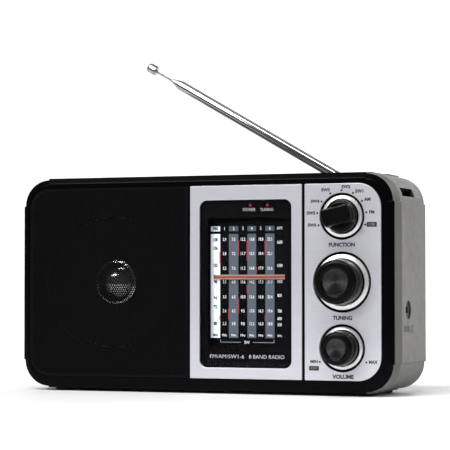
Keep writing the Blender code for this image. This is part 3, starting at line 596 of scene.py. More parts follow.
LED_RED = lit_led()
DISH_BRIGHT = directed(
    finish(
        "dish_bright", (0.78, 0.78, 0.775), 0.30, (0.15, 0.0008), metallic=0.75, vary=0.03,
        rough_vary=0.05, Anisotropic=0.5,
    ),
    "RADIAL",
)
CHROME = finish("chrome", (0.72, 0.72, 0.73), 0.11, (3, 0.001), metallic=1.0, vary=0.04, rough_vary=0.05)
NICKEL = finish("nickel", (0.36, 0.36, 0.36), 0.09, (1, 0.001), metallic=1.0, vary=0.05, rough_vary=0.02)
KNOB_BLACK = finish(
    "knob_black", (0.003, 0.003, 0.003), 0.2, (0.8, 0.0015), rough_vary=0.02, Specular_IOR_Level=0.09
)
KNOB_SPUN = directed(
    finish(
        "knob_spun", (0.044, 0.044, 0.047), 0.26, (0.2, 0.001), metallic=0.9, vary=0.15, rough_vary=0.06,
        Anisotropic=0.85,
    ),
    "RADIAL",
)
POINTER_RED = finish("pointer_red", (0.21, 0.016, 0.016), 0.35, (0.5, 0.002))
POINTER_TAN = finish("pointer_tan", (0.20, 0.17, 0.12), 0.4, (0.5, 0.002))
PLATED = finish("plated_steel", (0.55, 0.55, 0.55), 0.32, (0.6, 0.003), metallic=1.0)
MOULDED = finish("moulded_black", (0.018, 0.018, 0.019), 0.45, *FINE)
PAPER = finish("cone_paper", (0.004, 0.004, 0.004), 0.9, (0.5, 0.06), Specular_IOR_Level=0.1)
RUBBER = finish("rubber", (0.018, 0.018, 0.018), 0.85, (0.3, 0.02))

BY_SLOT = {
    "case_black": BLACK_GLOSS, "case_grey": GREY_CASE, "case_rear": REAR_CASE, "panel_silver": BRUSHED,
    "grille_mesh": GRILLE_BLACK, "clear_window": WINDOW_CLEAR, "led_red": LED_RED,
    "chrome_bright": CHROME, "knob_black": KNOB_BLACK, "plated_steel": PLATED,
    "pointer_red": POINTER_RED, "moulded_black": MOULDED, "cone_paper": PAPER, "rubber": RUBBER,
    "scale_print": finish(
        "scale_black", (0.0008, 0.0008, 0.0014), 0.5, (0.3, 0.002), Specular_IOR_Level=0.04
    ),
    "nylon": finish("nylon", (0.66, 0.65, 0.60), 0.45, (0.8, 0.004), Subsurface_Weight=0.1),
    "cord_fibre": finish("cord_fibre", (0.22, 0.27, 0.17), 0.8, (0.25, 0.05), stretch=(1, 1, 0.4)),
    "board_laminate": finish("board_laminate", (0.02, 0.11, 0.045), 0.4, (0.7, 0.01), vary=0.2),
    "ferrite": finish("ferrite", (0.05, 0.05, 0.053), 0.6, (0.5, 0.02)),
    "copper": finish("copper", (0.55, 0.21, 0.09), 0.35, (0.3, 0.03), metallic=0.9, stretch=(1, 0.02, 0.02)),
    "laminated_iron": finish(
        "laminated_iron", (0.22, 0.22, 0.23), 0.5, (0.5, 0.05), metallic=0.7, stretch=(0.02, 1, 0.02)
    ),
    "cell_jacket": finish("cell_jacket", (0.06, 0.08, 0.22), 0.3, (4, 0.02), Coat_Weight=0.4),
}


def dress_cad_nodes():
    """Every carried-over node gets its slot's finish, and those still shown get small rounded edges."""
    for part in frame["record"]["subparts"]:
        thing = NODES[part["node"]]
        for holder in thing.material_slots:
            holder.material = BY_SLOT[part["material_slot"]]
        if thing.hide_render:
            continue
        weld = thing.modifiers.new("weld", "WELD")
        weld.merge_threshold = 0.005 * MM
        bevelled(thing, 0.12 * MM, 50)
        flat_kept(thing)


# ---- case

CABINET = area_of("front_cabinet")
CABINET_SIZE = (CABINET[1] - CABINET[0], CABINET[3] - CABINET[2])
BEVEL = 3.4 * MM
RIM_DEPTH = 1.5 * MM
FACE_BACK = 3.4 * MM
POCKET_DEPTH = 1.3 * MM
LIP_DEPTH = 9.0 * MM
HANDLE = area_of("carry_handle")
HANDLE_FRONT, HANDLE_BACK = 34.3 * MM, depths_of("carry_handle")[1]
JOINTS = {j["name"]: j for j in frame["joints"]}
TRAY_FLOOR = 54.0 * MM
TRAY_FRONT = 12.0 * MM
ARM_IN, ARM_OUT = 88.0 * MM, 95.0 * MM
PIN_BORE = 2.1 * MM
NOTCH_IN, NOTCH_OUT = 98 * MM, 103.5 * MM
NOTCH_FRONT, NOTCH_FLOOR = 28 * MM, 60.5 * MM
FOOT_POCKET = 6.3 * MM
JACK = (CASE_WIDTH / 2, 19.8 * MM, -16.1 * MM)
JACK_RECESS = mm(5.3, 0.85)
JACK_HOLE = mm(3.5, 6)
CONTROLS = ("function", "tuning", "volume")
LEDS = ("power_led", "tuning_led")
LED_HOLE = 1.8 * MM
SPEAKER_X, SPEAKER_Z = centre_of("speaker_frame")
SPEAKER_OPENING = 41 * MM


def pivot(joint):
    """A joint's place, in the terms of at()."""
    x, y, z = JOINTS[joint]["pos_m"]
    return x, y - FRONT_Y, z - MID_Z


def front_cabinet():
    width, height = CABINET_SIZE
    rim = 2 * BEVEL
    inner = 2 * (WALL + 0.4 * MM)
    lip = (CASE_WIDTH - inner, CASE_HEIGHT - inner)
    hollow = 4.8 * MM
    edge = width - 0.9 * MM
    path = [
        (width - rim - 2 * MM, height - rim - 2 * MM, 0, 0),
        (width - rim, height - rim, 0, 0.9 * MM),
        (edge, height, RIM_DEPTH - 0.35 * MM, 0.4 * MM),
        (edge, height, RIM_DEPTH, 0),
    ]
    rings = []
    for wide, tall, depth in soften(path):
        rings.append(case_ring(wide, tall, depth, CORNER - (width - wide) / 2))
    lip_corner = CORNER - inner / 2
    rings += [case_ring(*lip, depth, lip_corner) for depth in (RIM_DEPTH, LIP_DEPTH)]
    body = loft("front_bezel", rings, [BLACK_GLOSS, MASK_BLACK])
    room = (lip[0] - hollow, lip[1] - hollow)
    room_corner = lip_corner - hollow / 2
    room_rings = [case_ring(*room, depth, room_corner) for depth in (FACE_BACK, 2 * LIP_DEPTH)]
    pockets = [
        plate("pocket", grown(area_of(node), GAP), left, right, POCKET_DEPTH)
        for node, left, right in (
            ("dial_panel", MM, MM),
            ("control_panel", MM, 14.3 * MM),
            ("speaker_grille", 12.3 * MM, MM),
        )
    ]
    openings = [plate("opening", grown(area_of("dial_scale"), 0.8 * MM), MM, MM, LIP_DEPTH)]
    openings.append(front_hole(SPEAKER_X, SPEAKER_Z, SPEAKER_OPENING))
    for name in CONTROLS:
        node = f"{name}_dish"
        openings.append(front_hole(*centre_of(node), radius_of(node) + GAP))
    for name in LEDS:
        openings.append(front_hole(*centre_of(name), LED_HOLE, segments=48))
    cut(body, loft("room", room_rings), *pockets, *openings)
    for name in ("upper_pulley", "lower_pulley"):
        axle = rod(-23 * MM, -2.4 * MM, 1.4 * MM, 32)
        x, _, height = pivot(f"{name}_turn")
        join(body, settle(facing_front(axle, x, height)))
    eased(body, 0.22 * MM)
    # Painted shade: the pocket floor and walls behind the grille take the window mask's matte, deader black so the
    # holes read black all over
    sheet = area_of("speaker_grille")[1]
    painted(body, lambda c: c.x < sheet and FRONT_Y + 0.9 * MM < c.y and c.y < FRONT_Y + LIP_DEPTH)
    ridden(body, "case", "front_cabinet", slot="case_black")


SLOT_HALF = 2.6 * MM


def socket_frame():
    """Local +Z out of the top right corner through the slot, from the corner arc's centre."""
    centre = at(CASE_WIDTH / 2 - CORNER, 25 * MM, TOP - CORNER)
    return Matrix.Translation(centre) @ Matrix.Rotation(radians(69), 4, "Y")


def corner_box(name, low, high):
    box = bar(name, low, high)
    box.matrix_world = socket_frame()
    return settle(box)


def in_slot(point):
    """Tells whether a point in the socket's frame is on the slot's walls."""
    reach = CORNER - CORNER_STEP - 0.6 * MM
    return abs(point.x) < SLOT_HALF + 0.1 * MM and abs(point.y) < 12.7 * MM and 0 < point.z < reach


def case_shell():
    width, height = CABINET_SIZE
    path = [
        (width - 0.4 * MM, height, SHELL_FRONT, 0),
        (CASE_WIDTH - SKIN, CASE_HEIGHT, FLARE_DEPTH, 0.9 * MM),
        (CASE_WIDTH - SKIN, CASE_HEIGHT, SHELL_BACK - 0.7 * MM, 0.4 * MM),
        (CASE_WIDTH - 1.2 * MM, CASE_HEIGHT - 1.2 * MM, SHELL_BACK, 0),
    ]
    rings = []
    for wide, tall, depth in soften(path):
        back_tuck = (CASE_WIDTH - wide) / 2 if depth > CASE_DEPTH / 2 else 0
        rings.append(case_ring(wide, tall, depth, CORNER - back_tuck))
    shell = loft("case_shell", rings, [GREY_CASE, MOULDED])
    inside = (CASE_WIDTH - 2 * WALL, CASE_HEIGHT - 2 * WALL)
    cavity = loft("cavity", [case_ring(*inside, depth, CORNER - WALL) for depth in (0, CASE_DEPTH)])
    wide = HANDLE[1] + GAP
    arms = ARM_OUT + 2 * MM
    kept = wide + 1.8 * MM
    cut(cavity, slab("keep", 0, kept, (LIP_DEPTH + GAP, 2 * CASE_DEPTH), (TRAY_FLOOR - 1.8 * MM, 2 * TOP)))
    cut(
        shell,
        cavity,
        slab("tray", 0, arms, (TRAY_FRONT, HANDLE_FRONT), (TRAY_FLOOR, 2 * TOP)),
        slab("tray", 0, wide, (HANDLE_FRONT - 0.7 * MM, CASE_DEPTH), (TRAY_FLOOR, 2 * TOP)),
    )
    _, depth, height = pivot("handle_lift")
    for side in (-1, 1):
        bore = rod(-3 * MM, 4.5 * MM, PIN_BORE, 32)
        cut(shell, side_hole(bore, side * ARM_OUT, depth, height, side))
    for side in (-1, 1):
        x0, x1 = sorted((side * NOTCH_IN, side * NOTCH_OUT))
        cut(shell, block("notch", (x0, NOTCH_FRONT, NOTCH_FLOOR), (x1, HANDLE_FRONT, 2 * TOP)))
    cut(shell, corner_box("slot", (-SLOT_HALF, -12.6 * MM, 9 * MM), (SLOT_HALF, 12.6 * MM, 20 * MM)))
    for radius, deep in (JACK_RECESS, JACK_HOLE):
        cut(shell, side_hole(rod(-deep, 2 * MM, radius, 64), *JACK))
    for i in range(1, 5):
        low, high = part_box(f"foot_{i}")
        pocket = rod(0, high.z + GAP, FOOT_POCKET)
        cut(shell, settle(place(pocket, ((low.x + high.x) / 2, (low.y + high.y) / 2, 0))))
    eased(shell, 0.25 * MM)
    # The jack recess's wall and floor take the dark moulded finish: partly a black jack bezel, partly painted
    # shade inside the recess
    middle = at(*JACK)
    recess = 0.9 * MM
    painted(shell, lambda c: (c - middle).length < 6 * MM and 0.1 * MM < middle.x - c.x < recess)
    slot = socket_frame().inverted()
    painted(shell, lambda c: in_slot(slot @ c))
    ridden(shell, "case", "middle_shell", slot="case_grey")


def feet():
    for i in range(1, 5):
        low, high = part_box(f"foot_{i}")
        radius, tall = (high.x - low.x) / 2, high.z
        path = [(0, 0.25 * MM, 0), mm(2.6, 0.25, 0.1), mm(3.0, 0, 0.2)]
        path += [(radius, 0, 0.6 * MM), (radius, tall, 0.1 * MM), (0, tall, 0)]
        foot = turned(f"rubber_foot_{i}", soften(path), RUBBER, 64)
        place(foot, ((low.x + high.x) / 2, (low.y + high.y) / 2, 0))
        ridden(foot, "case", f"foot_{i}", slot="rubber")


DOOR = area_of("battery_door")
LEDGE_DEPTH = 59.9 * MM
LEDGE_Z = 38.0 * MM
BACK_FLOOR = CASE_DEPTH - 2.5 * MM
SCREWS = ((-100, 30), (100, 30), (-106, -30), (-28, 30), (50, 30), (-45, -50))


def rear_cover():
    start = (CASE_WIDTH - 2.4 * MM, CASE_HEIGHT - 2.4 * MM, SHELL_BACK + GAP, 0)
    edge = (CASE_WIDTH - 14.4 * MM, CASE_HEIGHT - 10.4 * MM, CASE_DEPTH, 1.4 * MM)
    face = (CASE_WIDTH - 24 * MM, CASE_HEIGHT - 20 * MM, CASE_DEPTH, 0)
    rings = []
    for wide, tall, depth in soften([start, edge, face]):
        rings.append(case_ring(wide, tall, depth, CORNER - (CASE_WIDTH - wide) / 2.6))
    cover = loft("back_cover", rings, REAR_CASE)
    room = loft(
        "room",
        [
            case_ring(CASE_WIDTH - 7.2 * MM, CASE_HEIGHT - 7.2 * MM, SHELL_BACK, CORNER - 3.6 * MM),
            case_ring(CASE_WIDTH - 19.2 * MM, CASE_HEIGHT - 15.2 * MM, BACK_FLOOR, CORNER - 7.4 * MM),
        ],
    )
    wide = CASE_WIDTH
    cut(room, slab("keep", 0, wide, (0, 2 * CASE_DEPTH), (LEDGE_Z - 2.5 * MM, 2 * TOP)))
    ledge = slab("ledge", 0, wide, (LEDGE_DEPTH, 2 * CASE_DEPTH), (LEDGE_Z, 2 * TOP))
    x0, x1, z0, z1 = grown(DOOR, GAP)
    door = block("door", (x0, BACK_FLOOR - MM, z0), (x1, 2 * CASE_DEPTH, z1))
    cut(cover, room, ledge, door)
    x, _, height = pivot("antenna_swivel")
    cut(cover, front_hole(x, height, 2.3 * MM, SHELL_BACK - MM, LEDGE_DEPTH + MM, 48))
    x0, x1, z0, z1 = grown(area_of("ac_inlet"), GAP)
    cut(cover, block("inlet", (x0, BACK_FLOOR - MM, z0), (x1, 2 * CASE_DEPTH, z1)))
    for row in range(7):
        low = 8 * MM - row * 5 * MM
        half = (34 - 1.2 * abs(row - 3) ** 2) * MM
        cut(cover, slab("vent", SPEAKER_X, half, (BACK_FLOOR - MM, CASE_DEPTH + MM), (low, low + 2 * MM)))
    for x, z in SCREWS:
        cut(cover, front_hole(x * MM, z * MM, 3.2 * MM, CASE_DEPTH - 1.4 * MM, CASE_DEPTH + MM, 48))
    eased(cover, 0.25 * MM)
    ridden(cover, "case", "rear_cover", slot="case_rear")


def rear_screws():
    """Cross-headed screws in the rear cover's wells."""
    for i, (x, z) in enumerate(SCREWS):
        path = [(0, 0, 0), mm(2.3, 0, 0), mm(2.7, 0.5, 0.3), mm(1.2, 1.25, 0.6), mm(0, 1.3, 0)]
        head = turned(f"rear_screw_{i + 1}", soften(path), PLATED, 48)
        for turn in (20 + 31 * i, 110 + 31 * i):
            slot = bar("slot", mm(-1.5, -0.28, 0.55), mm(1.5, 0.28, 3))
            slot.rotation_euler = (0, 0, radians(turn))
            cut(head, settle(slot))
        seat = Matrix.Translation(at(x * MM, CASE_DEPTH - 1.39 * MM, z * MM))
        head.matrix_world = seat @ Matrix.Rotation(radians(-90), 4, "X")
        ridden(eased(head, 0.05 * MM), "case", slot="plated_steel")


def battery_door():
    x0, x1, z0, z1 = DOOR
    front, back = depths_of("battery_door")
    door = block("battery_lid", (x0, front, z0), (x1, back, z1), REAR_CASE)
    middle = (x0 + x1) / 2
    heights = (z1 - 12 * MM, z1 - 6 * MM)
    cut(door, slab("finger", middle, 9 * MM, (back - 0.8 * MM, back + MM), heights))
    heights = (z1 - 11.2 * MM, z1 - 6.8 * MM)
    for i in range(9):
        x = middle + (i - 4) * 1.6 * MM
        join(door, slab("rib", x, 0.35 * MM, (back - 0.9 * MM, back - 0.25 * MM), heights))
    for row in (0.3, 0.5, 0.7):
        low = z0 + (z1 - z0) * row - 8 * MM
        line = block("line", (x0 + 10 * MM, back - 0.35 * MM, low), (x1 - 10 * MM, back + MM, low + 0.8 * MM))
        cut(door, line)
    eased(door, 0.2 * MM)
    ridden(door, "door", "battery_door", slot="case_rear")


# ---- front


def speaker_grille():
    """A perforated sheet: staggered six-sided holes, cut right through."""
    area = area_of("speaker_grille")
    front = depths_of("speaker_grille")[0]
    back = front + 0.45 * MM
    corner, margin = 12 * MM, 1.7 * MM
    outline = rounded_outline(area, corner, 0.8 * MM, 24)
    x0, x1, z0, z1 = area
    pitch, radius = 1.45 * MM, 0.54 * MM
    row_step = pitch * 3**0.5 / 2

    def holds(x, z):
        if not (x0 + margin < x < x1 - margin and z0 + margin < z < z1 - margin):
            return False
        away_x = x0 + corner - x
        away_z = max(z - (z1 - corner), (z0 + corner) - z)
        return away_x < 0 or away_z < 0 or away_x**2 + away_z**2 < (corner - margin) ** 2

    flat = list(outline)
    owner = [-1] * len(outline)
    loops = [list(range(len(outline)))]
    rows = int((z1 - z0) / row_step)
    columns = int((x1 - x0) / pitch)
    for row in range(rows + 1):
        z = (z0 + z1) / 2 + (row - rows / 2) * row_step
        for column in range(columns + 1):
            x = (x0 + x1) / 2 + (column - columns / 2 + (row % 2) / 2) * pitch
            if holds(x, z):
                loops.append(list(range(len(flat), len(flat) + 6)))
                owner += [len(loops)] * 6
                flat += [(x + radius * cos(pi * k / 3), z + radius * sin(pi * k / 3)) for k in range(6)]
    edges = [(loop[k], loop[(k + 1) % len(loop)]) for loop in loops for k in range(len(loop))]
    spots, _, triangles, origin, *_ = geometry.delaunay_2d_cdt([Vector(p) for p in flat], edges, [], 0, 1e-7)
    holder = [owner[source[0]] if source else -1 for source in origin]
    sheet = [t for t in triangles if holder[t[0]] < 0 or len({holder[v] for v in t}) > 1]
    where = {source[0]: v for v, source in enumerate(origin) if source}
    count = len(spots)
    points = [at(p.x, depth, p.y) for depth in (front, back) for p in spots]
    faces = [list(t) for t in sheet] + [[v + count for v in reversed(t)] for t in sheet]
    for first, second in edges:
        a, b = where[first], where[second]
        faces.append([a, a + count, b + count, b])
    grille = piece("perforated_grille", points, faces, GRILLE_BLACK, 30)
    ridden(grille, "case", "speaker_grille", slot="grille_mesh")


def panels():
    edge = 0.22 * MM
    front, back = depths_of("dial_panel")
    window = rounded_outline(grown(area_of("dial_window"), GAP), 4.6 * MM, 4.6 * MM)
    outline = rounded_outline(area_of("dial_panel"), 0.6 * MM, 0.6 * MM)
    panel = sheet_metal("dial_surround", [outline, window], front, back, edge, BRUSHED)
    ridden(panel, "case", "dial_panel", slot="panel_silver")
    outline = rounded_outline(area_of("control_panel"), 0.6 * MM, 14 * MM, 24)
    holes = []
    for name in CONTROLS:
        node = f"{name}_dish"
        holes.append(arc(centre_of(node), radius_of(node) + 1.4 * MM, 0, 357, 119))
    panel = sheet_metal("control_surround", [outline, *holes], front, back, edge, BRUSHED)
    ridden(panel, "case", "control_panel", slot="panel_silver")


def window_and_leds():
    front, back = depths_of("dial_window")
    area = area_of("dial_window")
    outline = rounded_outline(area, *mm(4.3, 4.3))
    pane = sheet_metal("window_pane", [outline], front, back, 0.25 * MM, WINDOW_CLEAR)
    ridden(pane, "case", "dial_window", slot="clear_window")
    opening = rounded_outline(mm(3.7, 51.6, -37.6, 37.6), *mm(0.3, 0.3), 3)
    lights = [arc(centre_of(name), 1.6 * MM, 0, 345, 23) for name in LEDS]
    frame_outline = rounded_outline(grown(area, -0.2 * MM), *mm(4.1, 4.1))
    low, high = back + 0.02 * MM, back + 0.02 * MM + 0.06 * MM
    mask = sheet_metal("window_mask", [frame_outline, opening, *lights], low, high, 0.01 * MM, MASK_BLACK)
    ridden(mask, "case", slot="clear_window")
    for name in LEDS:
        low, high = depths_of(name)
        tip, flange = 1.5 * MM, 1.9 * MM
        step = 1 * MM - high
        path = [(r, up, 0) for r, up in arc((0, -low - tip), tip, 90, 0, 10)]
        path = [(0, *path[0][1:]), *path[1:], (tip, step, 0), (flange, step, 0.1 * MM)]
        path += [(flange, -high, 0.1 * MM), (0, -high, 0)]
        led = turned(f"{name}_lens", soften(path), LED_RED, 48)
        ridden(facing_front(led, *centre_of(name)), "case", name, slot="led_red")


BANDS = (3.33, 9.3, 14.88, 20.81, 26.53, 31.98, 37.78, 43.38)
FM_ROWS = {"108": 24.8, "106": 19.9, "102": 9.7, "98": 0.0, "94": -9.6, "92": -14.6, "88": -24.5}
AM_ROWS = {"1600": 23.1, "1300": 9.5, "1000": 0.2, "800": -7.9, "700": -17.0, "600": -21.4, "530": -24.9}
SHORT_ROWS = (25.0, 16.6, 8.0, 0.0, -8.8, -17.0, -24.5)
SHORT_BANDS = (
    "3.9 3.8 3.5 3.3 3.0 2.6 2.3",
    "7.5 7.2 7.0 6.8 6.5 6.2 5.8",
    "12.2 11.7 11.2 10.6 10.0 9.5 9.0",
    "15.8 15.3 14.8 14.2 13.6 13.0 12.3",
    "18.8 18.4 17.9 17.3 16.8 16.3 16.0",
    "22.5 22.1 21.6 21.0 20.4 19.6 18.8",
)
BAND_MARKS = (
    (9.3, 17.9, 10.8), (9.3, -19.7, -22.4), (14.88, -15.6, -21.9), (20.81, 24.3, 15.3), (20.81, -9.8, -18.5),
    (26.53, 24.3, 12.6), (26.53, -1.7, -6.6), (31.98, 8.9, 5.0), (37.78, 24.3, 15.9), (37.78, -19.7, -22.6),
)


def dial_prints():
    """The scale's bands, numbers and lines, printed on the plate behind the window."""
    depth = depths_of("dial_scale")[0]
    over = depth - 0.02 * MM
    top, bottom, head_low, head_high = 28.3, -32.8, 29.9, 32.8
    fm = [oblong(BANDS[0], BANDS[1], *rows) for rows in ((bottom, top), (head_low, head_high))]
    patches("scale_fm_band", fm, depth, PRINT_FM)
    blue = []
    for i in (2, 4, 6):
        blue += [oblong(BANDS[i], BANDS[i + 1], *rows) for rows in ((bottom, top), (head_low, head_high))]
    patches("scale_short_bands", blue, depth, PRINT_BLUE)
    marks = [oblong(x - 0.45, x + 0.45, low, high) for x, high, low in BAND_MARKS]
    patches("scale_band_marks", marks, over, PRINT_RED)
    middles = [(a + b) / 2 for a, b in zip(BANDS, BANDS[1:])]
    head, foot = (head_low + head_high) / 2, -31.3
    dark = [("FM", middles[0], head, 2.6, 0.9), ("MHz", middles[0], foot, 2.0, 0.8)]
    dark += [(text, middles[0], z, 2.7, 0.72) for text, z in FM_ROWS.items()]
    lettering("scale_dark_numbers", dark, over, PRINT_BLACK, weight=0.06)
    am_x = 46.6
    light = [("AM", am_x, head, 2.6, 0.9), ("kHz", am_x, foot, 2.0, 0.8)]
    light += [(text, am_x, z, 2.5, 0.72) for text, z in AM_ROWS.items()]
    for i, band in enumerate(SHORT_BANDS):
        x = middles[i + 1]
        light += [(str(i + 1), x, head, 2.7, 0.9), ("MHz", x, foot, 2.0, 0.8)]
        light += [(text, x, z, 2.6, 0.72) for text, z in zip(band.split(), SHORT_ROWS)]
    light.append(("SW", 26.2, -35.4, 2.6, 0.9))
    lettering("scale_light_numbers", light, over, PRINT_WHITE, weight=-0.006)
    lines = [oblong(9.5, 22.4, -35.5, -35.2), oblong(29.9, 43.3, -35.5, -35.2)]
    lines += [oblong(x, x + 0.3, -35.2, -33.7) for x in (9.5, 43.0)]
    patches("scale_bracket", lines, over, PRINT_GREY)


def window_prints():
    depth = depths_of("dial_window")[0] - 0.01 * MM
    words = [
        ("POWER", centre_of("power_led")[0] / MM, 42.1, 2.6, 0.86),
        ("TUNING", centre_of("tuning_led")[0] / MM + 0.4, 42.0, 2.6, 0.82),
        ("FM/AM/SW1-6", 5.1, -43.6, 3.2, 1.12, "LEFT"),
        ("8 BAND RADIO", 29.7, -43.6, 3.2, 1.0, "LEFT"),
    ]
    lettering("window_words", words, depth, PRINT_WHITE, weight=-0.02)


def panel_prints():
    """Marks and words round the controls, printed in black on the silver panel."""
    depth = depths_of("control_panel")[0] - 0.01 * MM
    x0, z0 = [v / MM for v in centre_of("function_dish")]
    marks, words = [], []
    labels = ("USB", "FM", "AM", "SW1", "SW2", "SW3", "SW4", "SW5", "SW6")
    offsets = (
        (3.9, 0.1), (3.2, 0.0), (3.3, 0.8), (4.0, 0.9), (2.6, 1.9),
        (-2.8, 2.0), (-3.9, 0.2), (-3.8, 0.0), (-3.9, 0.1),
    )
    for i, label in enumerate(labels):
        turn = radians(-19.4 + 27.4 * i)
        x, z = x0 + 14.9 * cos(turn), z0 + 14.9 * sin(turn)
        marks.append(dot(x, z, 0.62))
        shift_x, shift_z = offsets[i]
        words.append((label, x + shift_x, z + shift_z, 2.5, 1.04))
    usb = words.pop(0)
    boxes = [oblong(usb[1] - 3.0, usb[1] + 3.0, usb[2] - 1.4, usb[2] + 1.4)]
    x1 = centre_of("volume_dish")[0] / MM
    marks += [dot(73.4, -45.9, 0.6), dot(101.3, -45.8, 0.6)]
    boxes.append(oblong(66.9, 72.8, -50.9, -48.3))
    words += [
        ("MIN", 69.9, -45.8, 2.3, 1.1),
        ("MAX", 105.3, -45.7, 2.5, 0.95),
        ("FUNCTION", x0, 21.2, 3.1, 1.0),
        ("TUNING", x0 + 0.4, -20.7, 3.1, 0.97),
        ("VOLUME", x1 + 0.7, -54.3, 3.1, 1.04),
    ]
    patches("panel_marks", marks + boxes, depth, PRINT_BLACK)
    lettering("panel_words", words, depth, PRINT_BLACK, weight=0.05)
    over = [(*usb[:3], 2.0, 1.1), ("OFF", 69.85, -49.6, 2.0, 1.1)]
    lettering("panel_light_words", over, depth - 0.02 * MM, PRINT_SILVER, weight=-0.02)


def pointer():
    """The dial pointer: a tan carrier bar with a red line raised along it, and its arm."""
    x0, x1, z0, z1 = area_of("dial_pointer")
    front, back = depths_of("dial_pointer")
    middle = (z0 + z1) / 2
    bar_back = front + 0.8 * MM
    start = x0 + 0.8 * MM
    body = block("pointer_bar", (start, front + 0.12 * MM, z0), (x1, bar_back, z1), POINTER_TAN)
    inset = 0.1 * MM
    arm = block("arm", (x1 - MM, front + 0.3 * MM, z0 + inset), (x1 - inset, back, z1 - inset))
    join(body, arm)
    ridden(eased(body, 0.12 * MM), "pointer", "dial_pointer", slot="pointer_red")
    half = 0.62 * MM
    end = (x1 - inset, front + 0.3 * MM, middle + half)
    line = block("pointer_line", (start, front, middle - half), end, POINTER_RED)
    ridden(eased(line, 0.08 * MM), "pointer", slot="pointer_red")


# ---- controls

KNOB_SIZES = {"function": (9.8, 9.2, 12.6), "tuning": (13.2, 12.7, 14.0), "volume": (10.2, 9.7, 12.6)}
KNOB_BACK = -1.2 * MM
SHAFT_BORE = 3.15 * MM
HUB = 2.4 * MM


def control_dishes():
    for name in CONTROLS:
        node = f"{name}_dish"
        rim = radius_of(node)
        low, high = depths_of(node)
        knob = KNOB_SIZES[name][0] * MM
        floor, back = -1.8 * MM, -3.6 * MM
        cup = knob + 0.4 * MM
        path = [(rim, back, 0.2 * MM), (rim, -0.1 * MM, 0.25 * MM), (cup + 0.3 * MM, -low, 0.5 * MM)]
        path += [(cup, -low, 0.15 * MM), (cup, floor, 0.2 * MM), (SHAFT_BORE, floor, 0)]
        hub = SHAFT_BORE + HUB
        path += [(SHAFT_BORE, -high, 0), (hub, -high, 0.2 * MM), (hub, back, 0.1 * MM)]
        dish = turned(f"{name}_ring", soften(path, True), DISH_BRIGHT, 128)
        ridden(facing_front(flat_kept(dish), *centre_of(node)), "case", node, slot="chrome_bright")


def round_knobs():
    for name in ("tuning", "volume"):
        node = f"{name}_knob"
        base, front, reach = [v * MM for v in KNOB_SIZES[name]]
        bore_end = reach - 4 * MM
        disc = 0.60 * front
        path = [
            (0, bore_end, 0), (SHAFT_BORE, bore_end, 0), (SHAFT_BORE, KNOB_BACK, 0),
            (base - 0.5 * MM, KNOB_BACK, 0), (base, -0.8 * MM, 0.4 * MM),
            (front + 0.1 * MM, reach - 3 * MM, 1.0 * MM), (front - 0.25 * MM, reach - 0.9 * MM, 0.8 * MM),
            (front - 1.6 * MM, reach - 0.05 * MM, 0.7 * MM), (disc + 0.9 * MM, reach, 0.5 * MM),
            (disc + 0.25 * MM, reach - 0.5 * MM, 0.3 * MM), (disc, reach - 1.15 * MM, 0.2 * MM),
            (0.5 * disc, reach - 1.45 * MM, 2 * MM), (0, reach - 1.55 * MM, 0),
        ]
        knob = turned(node + "_body", soften(path, steps=5), [KNOB_BLACK, KNOB_SPUN], 128)
        inner = disc - 0.05 * MM
        painted(knob, lambda c: c.z > reach - 1.7 * MM and c.xy.length < inner)
        facing_front(flat_kept(knob), *centre_of(f"{name}_dish"))
        ridden(knob, f"{name}_control" if name == "tuning" else "volume_adjuster", node, slot="knob_black")


def function_knob():
    base, front, reach = [v * MM for v in KNOB_SIZES["function"]]
    low = 5.2 * MM
    bore_end = reach - 4 * MM
    path = [
        (0, low - MM, 0), (SHAFT_BORE, low - MM, 0), (SHAFT_BORE, KNOB_BACK, 0),
        (base - 0.4 * MM, KNOB_BACK, 0), (base, -0.8 * MM, 0.4 * MM), (front, low - 0.8 * MM, 0.5 * MM),
        (front - 1.2 * MM, low, 0.9 * MM), (0, low, 0),
    ]
    knob = turned("function_knob_body", soften(path), KNOB_BLACK, 128)
    half = 5.4 * MM
    rings = []
    sections = [(3.0 * MM, 0), (reach - 1.3 * MM, 0.25 * MM), (reach - 0.35 * MM, 0.6 * MM)]
    for height, inset in [*sections, (reach, 1.3 * MM)]:
        round_end, wide = front - inset, half - inset
        side = (round_end**2 - wide**2) ** 0.5
        outline = []
        for way in (1, -1):
            edge = round(degrees(atan2(wide, side)), 6)
            start = 0 if way > 0 else 180
            outline += arc((0, 0), round_end, start - edge, start + edge, 18)
        rings.append([(x, y, height) for x, y in outline])
    grip = loft("grip", rings, None, 50)
    cut(grip, bar("room", (-SHAFT_BORE, -SHAFT_BORE, -MM), (SHAFT_BORE, SHAFT_BORE, bore_end)))
    join(knob, grip)
    cut(knob, rod(-2 * MM, bore_end, SHAFT_BORE, 64))
    eased(knob, 0.3 * MM, 30, 3)
    facing_front(knob, *centre_of("function_dish"), spin=192.5)
    ridden(knob, "function_control", "function_knob", slot="knob_black")


# ---- sockets


